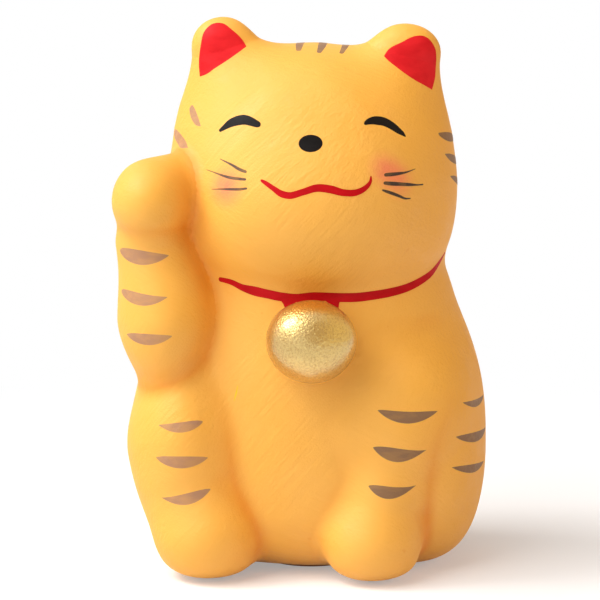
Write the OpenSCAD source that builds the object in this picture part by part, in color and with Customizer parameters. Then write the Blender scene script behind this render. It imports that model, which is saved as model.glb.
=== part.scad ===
// Beckoning cat figurine, in millimetres.
// Two press-moulded earthenware half shells meet on the plane y = 0. The raised foreleg, the tail
// and the bell are luted on with slip, and a disc with a firing vent closes the bottom.
// The cat sits on z = 0 and faces -Y. Its raised foreleg is on the -X side.
//
// Every form is a field: a function that is negative inside the clay and close to the distance
// from its surface. Fields are blended with a fillet, and a skin is the set of points where rays
// from inside the form meet it.

/* [Torso] */
// Width of the torso at its widest level
torso_w = 37.8; // [35:0.2:41]
// Depth of the torso at its widest level, front to back
torso_d = 30; // [28:0.2:33]
// Height of the torso's widest level
torso_level = 15; // [13:0.5:17]
// Height at which the torso's form would close over, inside the head
torso_top = 49.5; // [47:0.5:52]
// Depth below z = 0 at which the torso's form would close under
torso_under = 9; // [6:0.5:14]

/* [Head] */
// Width of the head
head_w = 33.8; // [31:0.2:36]
// Depth of the head, front to back
head_d = 29.2; // [27:0.2:31]
// Height of the head's widest level
head_level = 44.4; // [43:0.2:46]
// Rise of the crown above the head's widest level
crown = 16.65; // [15:0.05:18]
// Drop of the chin below the head's widest level
chin = 14.8; // [13.5:0.1:16]
// Width of the muzzle, the soft swelling that carries the nose and mouth
muzzle_w = 19; // [15:0.5:23]
// How far the muzzle's form stands out in front of the head's
muzzle_out = 0.8; // [0:0.1:1.6]
// Distance of each ear's tip from the middle plane
ear_x = 10; // [9:0.1:10.8]
// Height of an ear's tip above the crown
ear_h = 2.9; // [1.5:0.1:4]
// Radius of an ear's rounded tip
ear_r = 3.4; // [2.8:0.1:3.8]
// How much further out the ear on the +X side stands
ear_spread = 0.6; // [0:0.1:1.2]
// How much lower the ear on the +X side stands
ear_sag = 0.55; // [0:0.05:1]

/* [Legs] */
// Radius of the standing foreleg, on the +X side
foreleg_r = 4.7; // [4.2:0.1:5.2]
// Distance of the standing forepaw from the middle plane
forepaw_x = 7.6; // [7:0.1:8.4]
// Width of the standing forepaw
forepaw_w = 10.8; // [10:0.2:12]
// How far the forepaw's form reaches in front of the torso's
forepaw_out = 2.7; // [1.5:0.1:3.5]
// Radius of the hind leg's shin, on the -X side
shin_r = 5.9; // [5.3:0.1:6.5]
// Distance of the hind paw from the middle plane
hindpaw_x = 11.3; // [10.5:0.1:12]
// Width of the hind paw
hindpaw_w = 11.2; // [10:0.2:12.4]
// Width of each haunch's form
haunch_w = 14.4; // [13:0.2:16]

/* [Raised foreleg] */
// Radius of the raised foreleg above the elbow
forearm_r = 4.9; // [4.3:0.1:5.3]
// Radius of the raised foreleg at the wrist
wrist_r = 4.2; // [3.7:0.1:4.6]
// Radius of the beckoning paw
paw_r = 4.4; // [4:0.1:5]
// Height of the beckoning paw's middle below the head's widest level
paw_drop = 0.5; // [-2:0.1:3]
// How far the beckoning paw's middle lies outside the head's side
paw_out = 1.1; // [0.5:0.1:1.8]

/* [Tail] */
// Radius of the tail at its root
tail_root_r = 3.8; // [3.4:0.1:4.2]
// Radius of the tail at its tip
tail_tip_r = 3.1; // [2.6:0.1:3.4]
// Length of the bobtail's core from root to tip
tail_len = 7; // [5:0.5:10]

/* [Bell] */
// Radius of the bell
bell_r = 5; // [4.2:0.1:5.6]
// Height of the bell's middle below the head's widest level
bell_drop = 15.5; // [15:0.1:18]
// How far the bell's middle stands out of the chest
bell_out = 2.8; // [2.5:0.1:3.6]
// Offset of the bell's middle towards +X
bell_x = 0.8; // [-1:0.1:1]

/* [Clay] */
// Thickness of the moulded wall
wall = 3; // [2.6:0.1:3.2]
// Thickness of the floor around the bottom opening
floor_t = 4; // [3.6:0.1:4.4]
// Film of slip between luted pieces
lute = 0.16; // [0.14:0.01:0.22]
// Radius of the bottom opening that the base disc fills
seat_r = 5.5; // [5:0.25:6]
// Thickness of the base disc
disc_t = 2.4; // [2:0.1:2.8]
// Width of the ledge that the base disc bears on
ledge_w = 1.2; // [0.8:0.1:1.4]
// Radius of the firing vent in the base disc
vent_r = 1.25; // [1:0.05:1.4]
// Distance of the firing vent behind the disc's middle
vent_y = 2.75; // [2.5:0.05:3]

/* [Hidden] */

orange = [0.95, 0.66, 0.25];
clay = [0.72, 0.45, 0.32];
gold = [0.83, 0.66, 0.33];

// Fullness of the rounded forms: 2 is an ellipsoid, and more is squarer.
full = 2.15;
full_crown = 2;
full_neck = 2.05;
full_jaw = 2.5;
full_haunch = 2.35;

// Radii of the fillets where forms run into each other.
fillet_limb = torso_w * 0.048;
fillet_haunch = torso_w * 0.106;
fillet_neck = torso_w * 0.04;
fillet_ear = head_w * 0.133;
fillet_muzzle = head_w * 0.148;
fillet_knee = shin_r * 0.68;
fillet_elbow = forearm_r * 0.82;
fillet_wrist = wrist_r / 3;
fillet_paw = paw_r * 0.68;
fillet_lute = torso_w * 0.029;
// How far the slip smoothed over a luted joint stands off the luted piece.
smear = fillet_lute * 0.6;
// Radii over which the forms round under to the ground.
round_belly = torso_w * 0.225;
round_haunch = haunch_w * 0.222;
round_paw = forepaw_w * 0.23;
round_floor = wall;

torso_c = [0, torso_d / 60, torso_level];
chest_y = torso_c[1] - torso_d / 2;

head_c = [head_w * 0.003, 0, head_level];
crown_z = head_level + crown;
muzzle_in = muzzle_w * 0.253;
muzzle_c = [0, muzzle_in - head_d / 2, head_level - muzzle_w * 0.095];
muzzle_size = [muzzle_w / 2, muzzle_in + muzzle_out, muzzle_w * 0.342];

ear_y = -head_d * 0.0274;
ear_flat = 0.78;
ear_foot = [ear_x - ear_r * 0.59, 0, crown_z - ear_r * 2.235];
ear_foot_r = ear_r * 1.94;
ear_tip = [ear_x, 0, crown_z + ear_h - ear_r];
rib_foot = ear_foot + ear_r * [0.5, 0, -0.147];
rib_foot_r = ear_r / 2;
rib_tip_r = ear_r * 0.706;

foreleg_top = [torso_w * 0.296, chest_y + foreleg_r * 1.21, torso_level * 1.4];
forepaw_c = [forepaw_x, chest_y + forepaw_w * 0.472 - forepaw_out, forepaw_w * 0.398];
forepaw_size = forepaw_w * [0.5, 0.472, 0.463];
foreleg_end = forepaw_c + forepaw_w * [0.028, 0.037, 0.102];

knee_c = [-torso_w * 0.37, chest_y + shin_r * 1.576, torso_level * 1.027];
knee_size = shin_r * [1.068, 1.729, 2.085];
hindpaw_c = [-hindpaw_x, chest_y + hindpaw_w * 0.321, hindpaw_w * 0.402];
hindpaw_size = hindpaw_w * [0.5, 0.527, 0.464];
shin_top = knee_c - [0, shin_r * 0.458, 0];
shin_end = hindpaw_c + hindpaw_w * [-0.054, 0.027, 0.134];
shin_end_r = shin_r * 0.847;

haunch_c = [torso_w * 0.341, -haunch_w * 0.035, torso_level * 0.947];
haunch_d = haunch_w * 0.806;
haunch_up = haunch_w * 0.986;
haunch_down = haunch_w * 0.958;

// Levels beyond which forms play no part: the head below neck_low, the haunches and the legs above
// neck_high, the ears below brow_low and the torso above brow_high.
neck_low = head_level - chin - fillet_neck;
neck_high = haunch_c[2] + haunch_up + fillet_haunch;
brow_low = ear_foot[2] - ear_foot_r - fillet_ear;
brow_high = torso_top + fillet_neck;

elbow_c = [-torso_w * 0.424, chest_y + forearm_r * 1.265, torso_level + forearm_r * 2.735];
elbow_size = forearm_r * [0.959, 1.286, 1.551];
forearm_start = elbow_c + forearm_r * [-0.061, -0.102, 0.531];
paw_c = [-head_w / 2 - paw_out, -head_d * 0.356, head_level - paw_drop];
paw_size = paw_r * [1, 1.114, 1.136];
paw_core = paw_c - [0, 0, paw_r * 0.136];
wrist_c = paw_c + paw_r * [0.023, 0.318, -1.114];
web_c = paw_c + paw_r * [0.659, 0.727, 0.273];
web_size = paw_r * [0.75, 0.75, 0.909];

// ---- Fields ----

function smin(a, b, k) =
    let (h = max(k - abs(a - b), 0) / k)
    min(a, b) - h * h * k / 4;

function smax(a, b, k) = -smin(-a, -b, k);

// An ellipsoid of centre c and half-axes r.
function ellipsoid(p, c, r) =
    let (q = p - c,
         u = [q[0] / r[0], q[1] / r[1], q[2] / r[2]],
         k = norm(u))
    k * (k - 1) / (norm([u[0] / r[0], u[1] / r[1], u[2] / r[2]]) + 1e-9);

// An egg of centre c, whose half-axes are w and d, up above the centre and down below it.
// Its plans are superellipses of exponent n, under profiles of exponent m_up or m_down.
function egg(p, c, w, d, up, down, n, m_up, m_down) =
    let (h = p[2] > c[2] ? up : down,
         m = p[2] > c[2] ? m_up : m_down,
         x = abs(p[0] - c[0]) / w + 1e-6,
         y = abs(p[1] - c[1]) / d + 1e-6,
         z = abs(p[2] - c[2]) / h + 1e-6,
         a = pow(pow(x, n) + pow(y, n), 1 / n),
         k = pow(pow(a, m) + pow(z, m), 1 / m),
         g = pow(a / k, m - 1))
    (k - 1) / norm([g * pow(x / a, n - 1) / w, g * pow(y / a, n - 1) / d, pow(z / k, m - 1) / h]);

// A limb that runs from a to b, with radius ra at a and rb at b.
function limb(p, a, b, ra, rb) =
    let (t = min(max((p - a) * (b - a) / ((b - a) * (b - a)), 0), 1))
    norm(p - a - t * (b - a)) - ra - t * (rb - ra);

function torso(p) =
    egg(p, torso_c, torso_w / 2, torso_d / 2, torso_top - torso_level, torso_level + torso_under,
        full, full_neck, full);

function skull(p) = egg(p, head_c, head_w / 2, head_d / 2, crown, chin, full, full_crown, full_jaw);

function head(p) = smin(skull(p), ellipsoid(p, muzzle_c, muzzle_size), fillet_muzzle);

// The ear on side s, 1 for +X and -1 for -X: a flattened cone, and a rib down the head's side.
function ear(p, s) =
    let (q = [p[0] * s - (s > 0 ? ear_spread : 0), (p[1] - ear_y) / ear_flat, p[2] + (s > 0 ? ear_sag : 0)],
         rib_tip = ear_tip + ear_r * [s > 0 ? 0.56 : 0.353, 0, 0])
    0.8 * smin(limb(q, ear_foot, ear_tip, ear_foot_r, ear_r),
               limb(q, rib_foot, rib_tip, rib_foot_r, rib_tip_r), ear_r * 0.59);

// The haunches, alike on both sides.
function haunch(p) =
    egg([abs(p[0]), p[1], p[2]], haunch_c, haunch_w / 2, haunch_d, haunch_up, haunch_down,
        full_haunch, full_haunch, full_haunch);

function standing_foreleg(p) =
    smin(limb(p, foreleg_top, foreleg_end, foreleg_r, foreleg_r * 1.02),
         ellipsoid(p, forepaw_c, forepaw_size), fillet_limb);

function hind_leg(p) =
    smin(smin(ellipsoid(p, knee_c, knee_size), limb(p, shin_top, shin_end, shin_r, shin_end_r), fillet_knee),
         ellipsoid(p, hindpaw_c, hindpaw_size), fillet_limb);

// The legs on the ground. Each is left out on the far side of the middle plane, where it plays no part.
function legs(p) =
    p[0] > 1 ? standing_foreleg(p)
    : p[0] < -1 ? hind_leg(p)
    : min(standing_foreleg(p), hind_leg(p));

function below(p) =
    smin(smin(smax(torso(p), -p[2], round_belly), smax(haunch(p), -p[2], round_haunch), fillet_haunch),
         smax(legs(p), -p[2], round_paw), fillet_limb);

function above(p) = smin(head(p), ear(p, p[0] > 0 ? 1 : -1), fillet_ear);

// The whole moulded body, cut level at the ground. Forms are left out of the levels they don't reach.
function body(p) = max(-p[2],
    p[2] > brow_high ? above(p)
    : p[2] > brow_low ? smin(torso(p), above(p), fillet_neck)
    : p[2] > neck_high ? smin(torso(p), head(p), fillet_neck)
    : p[2] > neck_low ? smin(below(p), head(p), fillet_neck)
    : below(p));

// The hollow inside the moulded body.
function hollow(p) = smax(body(p) + wall, floor_t - p[2], round_floor);

function foreleg_form(p) =
    let (arm = smin(ellipsoid(p, elbow_c, elbow_size),
                    limb(p, forearm_start, wrist_c, forearm_r, wrist_r), fillet_elbow),
         paw = smin(ellipsoid(p, paw_c, paw_size), ellipsoid(p, web_c, web_size), fillet_paw))
    smin(arm, paw, fillet_wrist);

function tail_form(p) = limb(p, tail_root, tail_tip, tail_root_r, tail_tip_r);

// A luted piece flares out where it meets the body, by no more than the slip's smear.
function flared(form, under) = smax(smin(form, under, fillet_lute), form - smear, smear / 2);

// ---- Skins ----

// The point where the ray from o along d, a unit vector, meets field f. t is the distance so far.
function meet(f, o, d, t = 0, tries = 40) =
    let (v = f(o + t * d))
    tries == 0 || abs(v) < 0.002 ? o + t * d : meet(f, o, d, t - 0.9 * v, tries - 1);

function heading(turn, lift) = [cos(turn) * cos(lift), sin(turn) * cos(lift), sin(lift)];

// The hub height and lift of each row of rays: a fan below, a stack of levels, and a fan above.
hub_z = torso_level * 0.53;
crown_hub_z = head_level * 1.036;
function rays(low, mid, high) = concat(
    [[hub_z, -90]],
    [for (i = [0 : low - 1]) [hub_z, -atan(hub_z / (seat_r - ledge_w)) * (1 - i / low)]],
    [for (i = [0 : mid]) [hub_z + (crown_hub_z - hub_z) * i / mid, 0]],
    [for (i = [1 : high]) [crown_hub_z, 90 * i / high]]
);

// The turns of one half's columns, closer together at the seams, where the ears are.
function turns(start, n) = [for (i = [0 : n - 1]) start + 180 * i / n - 11 * sin(360 * i / n)];

// A triangle between points a, b and c of pts, left out where two of them are one point.
function facet(pts, a, b, c) = pts[a] == pts[b] || pts[b] == pts[c] || pts[a] == pts[c] ? [] : [[a, b, c]];

// A closed skin over rows of n points, the first and last row each being one point.
module skin(pts, n) polyhedron(pts, [
    for (i = [0 : len(pts) / n - 2], j = [0 : n - 1])
        let (a = i * n + j, b = i * n + (j + 1) % n)
        each concat(facet(pts, a, a + n, b + n), facet(pts, a, b + n, b))
]);

// The skin of a field around the upright axis, with a flat underside at the level z = base.
module upright_skin(f, base, rows, turn) skin([
    for (r = rows, a = turn)
        let (p = meet(f, [0, 0, r[0]], heading(a, r[1])))
        abs(p[2] - base) < 0.02 ? [p[0], p[1], base] : p
], len(turn));

// The skin of a limb's field around its axis from a to b.
module limb_skin(f, a, b, columns, rows, fan) {
    along = (b - a) / norm(b - a);
    side = cross(along, [0, 1, 0]) / norm(cross(along, [0, 1, 0]));
    front = cross(side, along);
    around = [for (j = [0 : columns - 1]) cos(360 * j / columns) * side - sin(360 * j / columns) * front];
    starts = concat(
        [for (i = [0 : fan]) [0, 90 * i / fan - 90]],
        [for (i = [1 : rows]) [i / rows, 0]],
        [for (i = [1 : fan]) [1, 90 * i / fan]]
    );
    skin([
        for (s = starts, way = around)
            meet(f, a + s[0] * (b - a), cos(s[1]) * way + sin(s[1]) * along)
    ], columns);
}

// The moulded body, grown by the thickness grow.
module solid_body(grow)
    upright_skin(function(p) body(p) - grow, -grow, rays(10, 20, 20), concat(turns(0, 24), turns(180, 38)));

module inside()
    upright_skin(function(p) hollow(p), floor_t, rays(5, 11, 11), concat(turns(0, 14), turns(180, 16)));

// ---- Places that follow the body's surface ----

// The point of the body's surface at x and z, on the front for way -1 and the back for way 1.
function on_body(x, z, way) = meet(function(p) body(p), [x, 0, z], [0, way, 0]);

bell_c = on_body(bell_x, head_level - bell_drop, -1) - [0, bell_out, 0];
tail_x = tail_root_r * 0.658;
tail_z = tail_root_r * 1.974;
tail_run = tail_len * 0.7;
tail_root = on_body(tail_x, tail_z, 1) + [0, tail_root_r * 0.158, 0];
tail_tip = on_body(tail_x - tail_run, tail_z + tail_run, 1) + [0, tail_tip_r * 0.323, 0];

// ---- Pieces ----

// One half of the body, -1 for the front and 1 for the back: hollow, with its half of the bottom opening.
module moulded(side) difference() {
    solid_body(0);
    inside();
    translate([-50, side > 0 ? -50 : 0, -10]) cube([100, 50, 100]);
    translate([0, 0, -1]) cylinder(r = seat_r, h = disc_t + 1, $fn = 96);
    cylinder(r = seat_r - ledge_w, h = floor_t + 1, $fn = 96);
}

module front_shell() color(orange) difference() {
    moulded(-1);
    translate(bell_c) sphere(r = bell_r + lute, $fn = 72);
}

module back_shell() color(orange) moulded(1);

module base_disc() color(clay) difference() {
    cylinder(r = seat_r - lute, h = disc_t, $fn = 96);
    translate([0, vent_y, -1]) cylinder(r = vent_r, h = disc_t + 2, $fn = 48);
}

module raised_foreleg() color(orange) difference() {
    limb_skin(function(p) flared(foreleg_form(p), body(p)), elbow_c, paw_core, 36, 10, 9);
    solid_body(lute);
}

module tail() color(orange) difference() {
    limb_skin(function(p) flared(tail_form(p), body(p)), tail_root, tail_tip, 24, 4, 6);
    solid_body(lute);
}

module bell() color(gold) translate(bell_c) sphere(r = bell_r, $fn = 72);

front_shell();
back_shell();
base_disc();
raised_foreleg();
tail();
bell();
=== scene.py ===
"""The finish of a small beckoning cat: fired clay under matt brushed paint.

The clay's form is a field, a function of a point in space that is negative inside the clay and close
to the distance from its surface. A skin is the set of points where rays from inside the form meet it,
so every skin is a function of two parameters: which row of rays, and which turn. Paint marks are thin
films laid on the same surface. Lengths are worked in millimetres and written to meshes in metres.
"""

import math
from types import SimpleNamespace

import bpy
import numpy as np
from mathutils import Matrix, Vector


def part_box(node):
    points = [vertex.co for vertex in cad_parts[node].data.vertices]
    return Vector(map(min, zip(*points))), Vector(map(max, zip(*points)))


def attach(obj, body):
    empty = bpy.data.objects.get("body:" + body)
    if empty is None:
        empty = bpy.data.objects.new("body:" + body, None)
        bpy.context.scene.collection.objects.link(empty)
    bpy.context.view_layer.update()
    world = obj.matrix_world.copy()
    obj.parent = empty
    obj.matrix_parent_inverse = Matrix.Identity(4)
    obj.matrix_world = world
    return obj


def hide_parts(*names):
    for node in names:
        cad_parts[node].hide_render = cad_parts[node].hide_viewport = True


bl_info = {
    "name": "Beckoning cat",
    "version": (1, 0, 0),
    "blender": (4, 5, 0),
    "location": "View3D > Sidebar > Cat",
    "description": "Builds the skins, paint and stage of a ceramic beckoning cat",
    "category": "Add Mesh",
}

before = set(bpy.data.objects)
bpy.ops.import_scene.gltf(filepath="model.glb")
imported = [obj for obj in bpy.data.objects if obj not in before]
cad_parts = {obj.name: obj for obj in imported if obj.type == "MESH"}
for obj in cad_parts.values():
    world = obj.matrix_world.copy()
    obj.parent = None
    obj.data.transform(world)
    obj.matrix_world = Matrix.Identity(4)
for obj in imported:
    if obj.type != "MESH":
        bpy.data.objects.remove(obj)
MM = 0.001
CLAY_BODY = "root"


def node_box(name):
    """The lowest and highest corner of a carried-over node, in millimetres."""
    low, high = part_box(name)
    return np.array(low) / MM, np.array(high) / MM


BELL_LOW, BELL_HIGH = node_box("bell")
DISC_LOW, DISC_HIGH = node_box("base_disc")


# ---------------------------------------------------------------- settings


def length(label, millimetres, text):
    """A length property whose default is given in millimetres."""
    return bpy.props.FloatProperty(
        name=label, description=text, default=millimetres * MM, precision=5, subtype="DISTANCE", unit="LENGTH"
    )


def angle(label, degrees, text):
    """An angle property whose default is given in degrees."""
    default = math.radians(degrees)
    return bpy.props.FloatProperty(name=label, description=text, default=default, subtype="ANGLE")


def amount(label, default, text):
    """A plain number property."""
    return bpy.props.FloatProperty(name=label, description=text, default=default, precision=3)


def tint(label, default, text):
    """A linear colour property."""
    return bpy.props.FloatVectorProperty(
        name=label, description=text, default=default, size=3, min=0.0, max=1.0, subtype="COLOR"
    )


class CatForm(bpy.types.PropertyGroup):
    """Sizes of the clay form."""

    torso_width: length("Torso width", 37.8, "Width of the torso at its widest level")
    torso_depth: length("Torso depth", 30.0, "Depth of the torso, front to back")
    torso_level: length("Torso level", 15.0, "Height of the torso's widest level")
    torso_top: length("Torso top", 49.5, "Height where the torso's form would close, inside the head")
    torso_under: length("Torso under", 9.0, "Depth below the base where the torso's form would close")
    head_width: length("Head width", 33.8, "Width of the head")
    head_depth: length("Head depth", 29.2, "Depth of the head, front to back")
    head_level: length("Head level", 44.4, "Height of the head's widest level")
    crown: length("Crown", 16.65, "Rise of the crown above the head's widest level")
    chin: length("Chin", 14.8, "Drop of the chin below the head's widest level")
    muzzle_width: length("Muzzle width", 19.0, "Width of the muzzle's swelling")
    muzzle_out: length("Muzzle out", 0.8, "How far the muzzle stands out in front of the head")
    ear_offset: length("Ear offset", 10.0, "Distance of an ear's tip from the middle plane")
    ear_height: length("Ear height", 2.9, "Height of an ear's tip above the crown")
    ear_radius: length("Ear radius", 3.4, "Radius of an ear's rounded tip")
    ear_spread: length("Ear spread", 0.6, "How much further out the ear on the +X side stands")
    ear_sag: length("Ear sag", 0.55, "How much lower the ear on the +X side stands")
    foreleg_radius: length("Foreleg radius", 4.7, "Radius of the standing foreleg")
    forepaw_offset: length("Forepaw offset", 7.6, "Distance of the standing forepaw from the middle plane")
    forepaw_width: length("Forepaw width", 10.8, "Width of the standing forepaw")
    forepaw_out: length("Forepaw out", 2.7, "How far the forepaw reaches in front of the torso")
    shin_radius: length("Shin radius", 5.9, "Radius of the hind leg's shin")
    hindpaw_offset: length("Hind paw offset", 11.1, "Distance of the hind paw from the middle plane")
    hindpaw_width: length("Hind paw width", 10.5, "Width of the hind paw")
    haunch_width: length("Haunch width", 14.4, "Width of each haunch")
    forearm_radius: length("Forearm radius", 4.9, "Radius of the raised foreleg above the elbow")
    wrist_radius: length("Wrist radius", 4.2, "Radius of the raised foreleg at the wrist")
    paw_radius: length("Paw radius", 4.4, "Radius of the beckoning paw")
    paw_drop: length("Paw drop", 0.5, "Height of the beckoning paw's middle below the head's widest level")
    paw_out: length("Paw out", 1.0, "How far the beckoning paw's middle lies outside the head's side")
    tail_root_radius: length("Tail root radius", 3.8, "Radius of the tail at its root")
    tail_tip_radius: length("Tail tip radius", 3.1, "Radius of the tail at its tip")
    tail_length: length("Tail length", 7.0, "Length of the bobtail's core")
    wall: length("Wall", 3.0, "Thickness of the moulded clay")
    floor: length("Floor", 4.0, "Thickness of the floor round the bottom opening")
    ledge: length("Ledge", 1.2, "Width of the ledge over the base disc")
    lute: length("Lute", 0.16, "Film of slip between luted pieces")
    unevenness: length("Unevenness", 0.05, "Height of the hand-smoothed clay's faint undulation")


class CatPaint(bpy.types.PropertyGroup):
    """Colours of the paint and the clay."""

    coat: tint("Coat", (0.94, 0.452, 0.05), "The cat's orange coat")
    # Painted shade: the coat's colour in creases and joints, where shade falls. It also colours the coat's
    # few dark specks.
    coat_shade_and_specks: tint("Coat in creases", (0.84, 0.28, 0.003), "The coat darkened as painted shade in creases, and its dark specks")
    coat_light: tint("Coat, thin", (0.95, 0.48, 0.08), "The coat where the brush left it thin")
    blush: tint("Blush", (0.93, 0.20, 0.10), "The cheeks' powdered blush")
    stripe: tint("Stripes", (0.262, 0.142, 0.07), "The brown of the stripes")
    whisker: tint("Whiskers", (0.045, 0.03, 0.024), "The thin grey-black wash of the whiskers")
    red: tint("Red", (0.60, 0.006, 0.011), "The red of the collar and the mouth")
    lining: tint("Ear lining", (0.80, 0.02, 0.025), "The red of the ear linings")
    black: tint("Black", (0.007, 0.006, 0.006), "The black of the eyes and the nose")
    gold: tint("Gold", (0.74, 0.53, 0.185), "The bell's gold paint")
    fleck: tint("Fleck", (0.85, 0.62, 0.03), "The small yellow fleck under the raised elbow")
    clay: tint("Clay", (0.46, 0.20, 0.10), "The bare fired clay underneath")


class CatStage(bpy.types.PropertyGroup):
    """The camera and the light."""

    turn: angle("Turn", 3.0, "How far to the +X side the camera stands")
    rise: angle("Rise", 10.0, "How far above level the camera looks down from")
    distance: length("Distance", 480.0, "Distance of the camera")
    view_width: length("View width", 71.1, "Width of the view at the figurine")
    aim_side: length("Aim, sideways", -1.3, "Sideways place of the view's middle")
    aim_up: length("Aim, up", 30.3, "Height of the view's middle, square to the view")
    key_power: amount("Key light", 5.8, "Power of the large light on the -X side, in watts")
    window_power: amount("Window light", 5.0, "Power of the small light high over the -X side, in watts")
    top_power: amount("Top light", 2.2, "Power of the large light above and in front, in watts")
    fill_power: amount("Fill light", 1.05, "Power of the warm light on the +X side, in watts")
    sky: amount("Sky", 0.23, "Strength of the even light from all round")


# ---------------------------------------------------------------- fields

# Exponents of the eggs' outlines: 2 is an ellipse, more is fuller and less is leaner.
FULL, FULL_CROWN, FULL_NECK, FULL_JAW, FULL_HAUNCH = 2.15, 1.84, 2.05, 2.5, 2.35
# The place of the ears' middle plane, and their thickness as a share of their width.
EAR_PLANE, EAR_FLATTENING = -0.8, 0.78
EAR_FOOT_RADIUS = 6.3
# An ear's rib: where its foot stands from the ear's, its radius there, and how far outside the ear's tip it
# ends, on the +X side and on the -X side.
RIB_FOOT, RIB_RADIUS, RIB_ENDS = (4.0, 0, 0.3), 1.9, (1.9, 0.9)
# Lengths over which one form runs into another, and over which edges at the base and the floor are rounded.
FILLETS = {
    "limb": 1.8, "ankle": 3.8, "knee": 4.0, "shoulder": 5.5, "haunch": 4.0, "ear": 4.5, "ear rib": 2.0,
    "neck": 1.5, "muzzle": 5.0, "lute": 2.0, "elbow": 4.0, "wrist": 1.4, "paw": 3.0,
}
ROUNDS = {"belly": 8.5, "haunch": 3.2, "paw": 2.5, "floor": 3.0}
# Middles of masses: a share of the torso's width, how far behind the chest, how far above the torso's level.
BESIDE_TORSO = {"foreleg": (0.296, 5.7, 6.0), "knee": (-0.37, 9.3, 0.4), "elbow": (-0.424, 6.2, 13.4)}
# Radii of masses in x, y and z, or those of them that the settings don't give, and an egg's up and down.
KNEE_RADII = (6.3, 10.2, 12.3)
ELBOW_RADII = (4.7, 6.3, 7.6)
WEB_RADII = (3.3, 3.3, 3.8)
FOREPAW_DEEP_HIGH = (5.1, 5.0)
HINDPAW_DEEP_HIGH = (5.9, 5.2)
HAUNCH_DEEP_UP_DOWN = (11.6, 14.2, 13.8)
MUZZLE_DEEP_HIGH = (4.8, 6.5)
# Where the tail's root stands in x and z, and its lean to the -X side as a share of its length.
TAIL_FOOT = (2.5, 7.5)
TAIL_LEAN = 0.7
# The heights between which the standing foreleg's fillet widens from the limb's to the shoulder's.
SHOULDER_RISE = (12, 20)
# Painted shade along a limb's joint, wider on the limb's side, which turns from the light: how far it is felt
# on the limb's side and on the body's, and how strongly.
JOINT_SHADE_REACHES, JOINT_SHADE_GAIN = (4.5, 2.0), 0.8
# Painted shadow in the fold under the beckoning paw: how far below the paw's middle, how far it is felt above
# and below, and how strongly.
FOLD_SHADOW_DROP, FOLD_SHADOW_REACHES, FOLD_SHADOW_GAIN = 2.9, (1.2, 2.8), 0.5
# Painted shade along a leg's +X edge, away from the light: how far it is felt, how strongly, and the heights
# between which it fades in going down.
LEG_EDGE_REACH, LEG_EDGE_SHADE_GAIN, LEG_EDGE_RISE = 1.9, 0.55, (15, 23)


def size_of(vectors):
    """Length of each vector of the last axis."""
    return np.sqrt((vectors * vectors).sum(-1))


def smooth_min(a, b, k):
    """The lower of two fields, less a parabola of depth k/4 where they differ by under k."""
    h = np.maximum(k - np.abs(a - b), 0.0) / k
    return np.minimum(a, b) - h * h * k / 4


def smooth_max(a, b, k):
    """The higher of two fields, with the same fillet."""
    return -smooth_min(-a, -b, k)


def fading(u, above, below):
    """1 where u is zero, falling on a parabola to 0 at the reach above it and at the reach below it."""
    return np.clip(1 - np.where(u > 0, u / above, -u / below), 0, 1) ** 2


def ellipsoid(p, centre, radii):
    """Distance from an ellipsoid to first order: k (k - 1) over the gradient of k squared, halved."""
    radii = np.asarray(radii, float)
    u = (p - centre) / radii
    k = size_of(u)
    return k * (k - 1) / (size_of(u / radii) + 1e-9)


def egg(p, centre, half_width, half_depth, up, down, plan, upper, lower):
    """An egg: superellipse plans of exponent plan, under profiles of exponent upper or lower.

    a is the plan's radius, k the profile's, and the distance is k - 1 over k's gradient.
    """
    q = p - centre
    high = q[..., 2] > 0
    h = np.where(high, up, down)
    m = np.where(high, upper, lower)
    x = np.abs(q[..., 0]) / half_width + 1e-6
    y = np.abs(q[..., 1]) / half_depth + 1e-6
    z = np.abs(q[..., 2]) / h + 1e-6
    a = (x**plan + y**plan) ** (1 / plan)
    k = (a**m + z**m) ** (1 / m)
    around = ((x / a) ** (plan - 1) / half_width) ** 2 + ((y / a) ** (plan - 1) / half_depth) ** 2
    slope = np.sqrt((a / k) ** (2 * m - 2) * around + ((z / k) ** (m - 1) / h) ** 2)
    return (k - 1) / slope


def limb(p, start, end, start_radius, end_radius):
    """Distance from a limb: a line from start to end, with a radius that changes evenly along it."""
    along = end - start
    t = np.clip(((p - start) @ along) / (along @ along), 0, 1)
    return size_of(p - start - t[..., None] * along) - start_radius - t * (end_radius - start_radius)


def point(x, y, z):
    """A place in millimetres."""
    return np.array([x, y, z], float)


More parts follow.
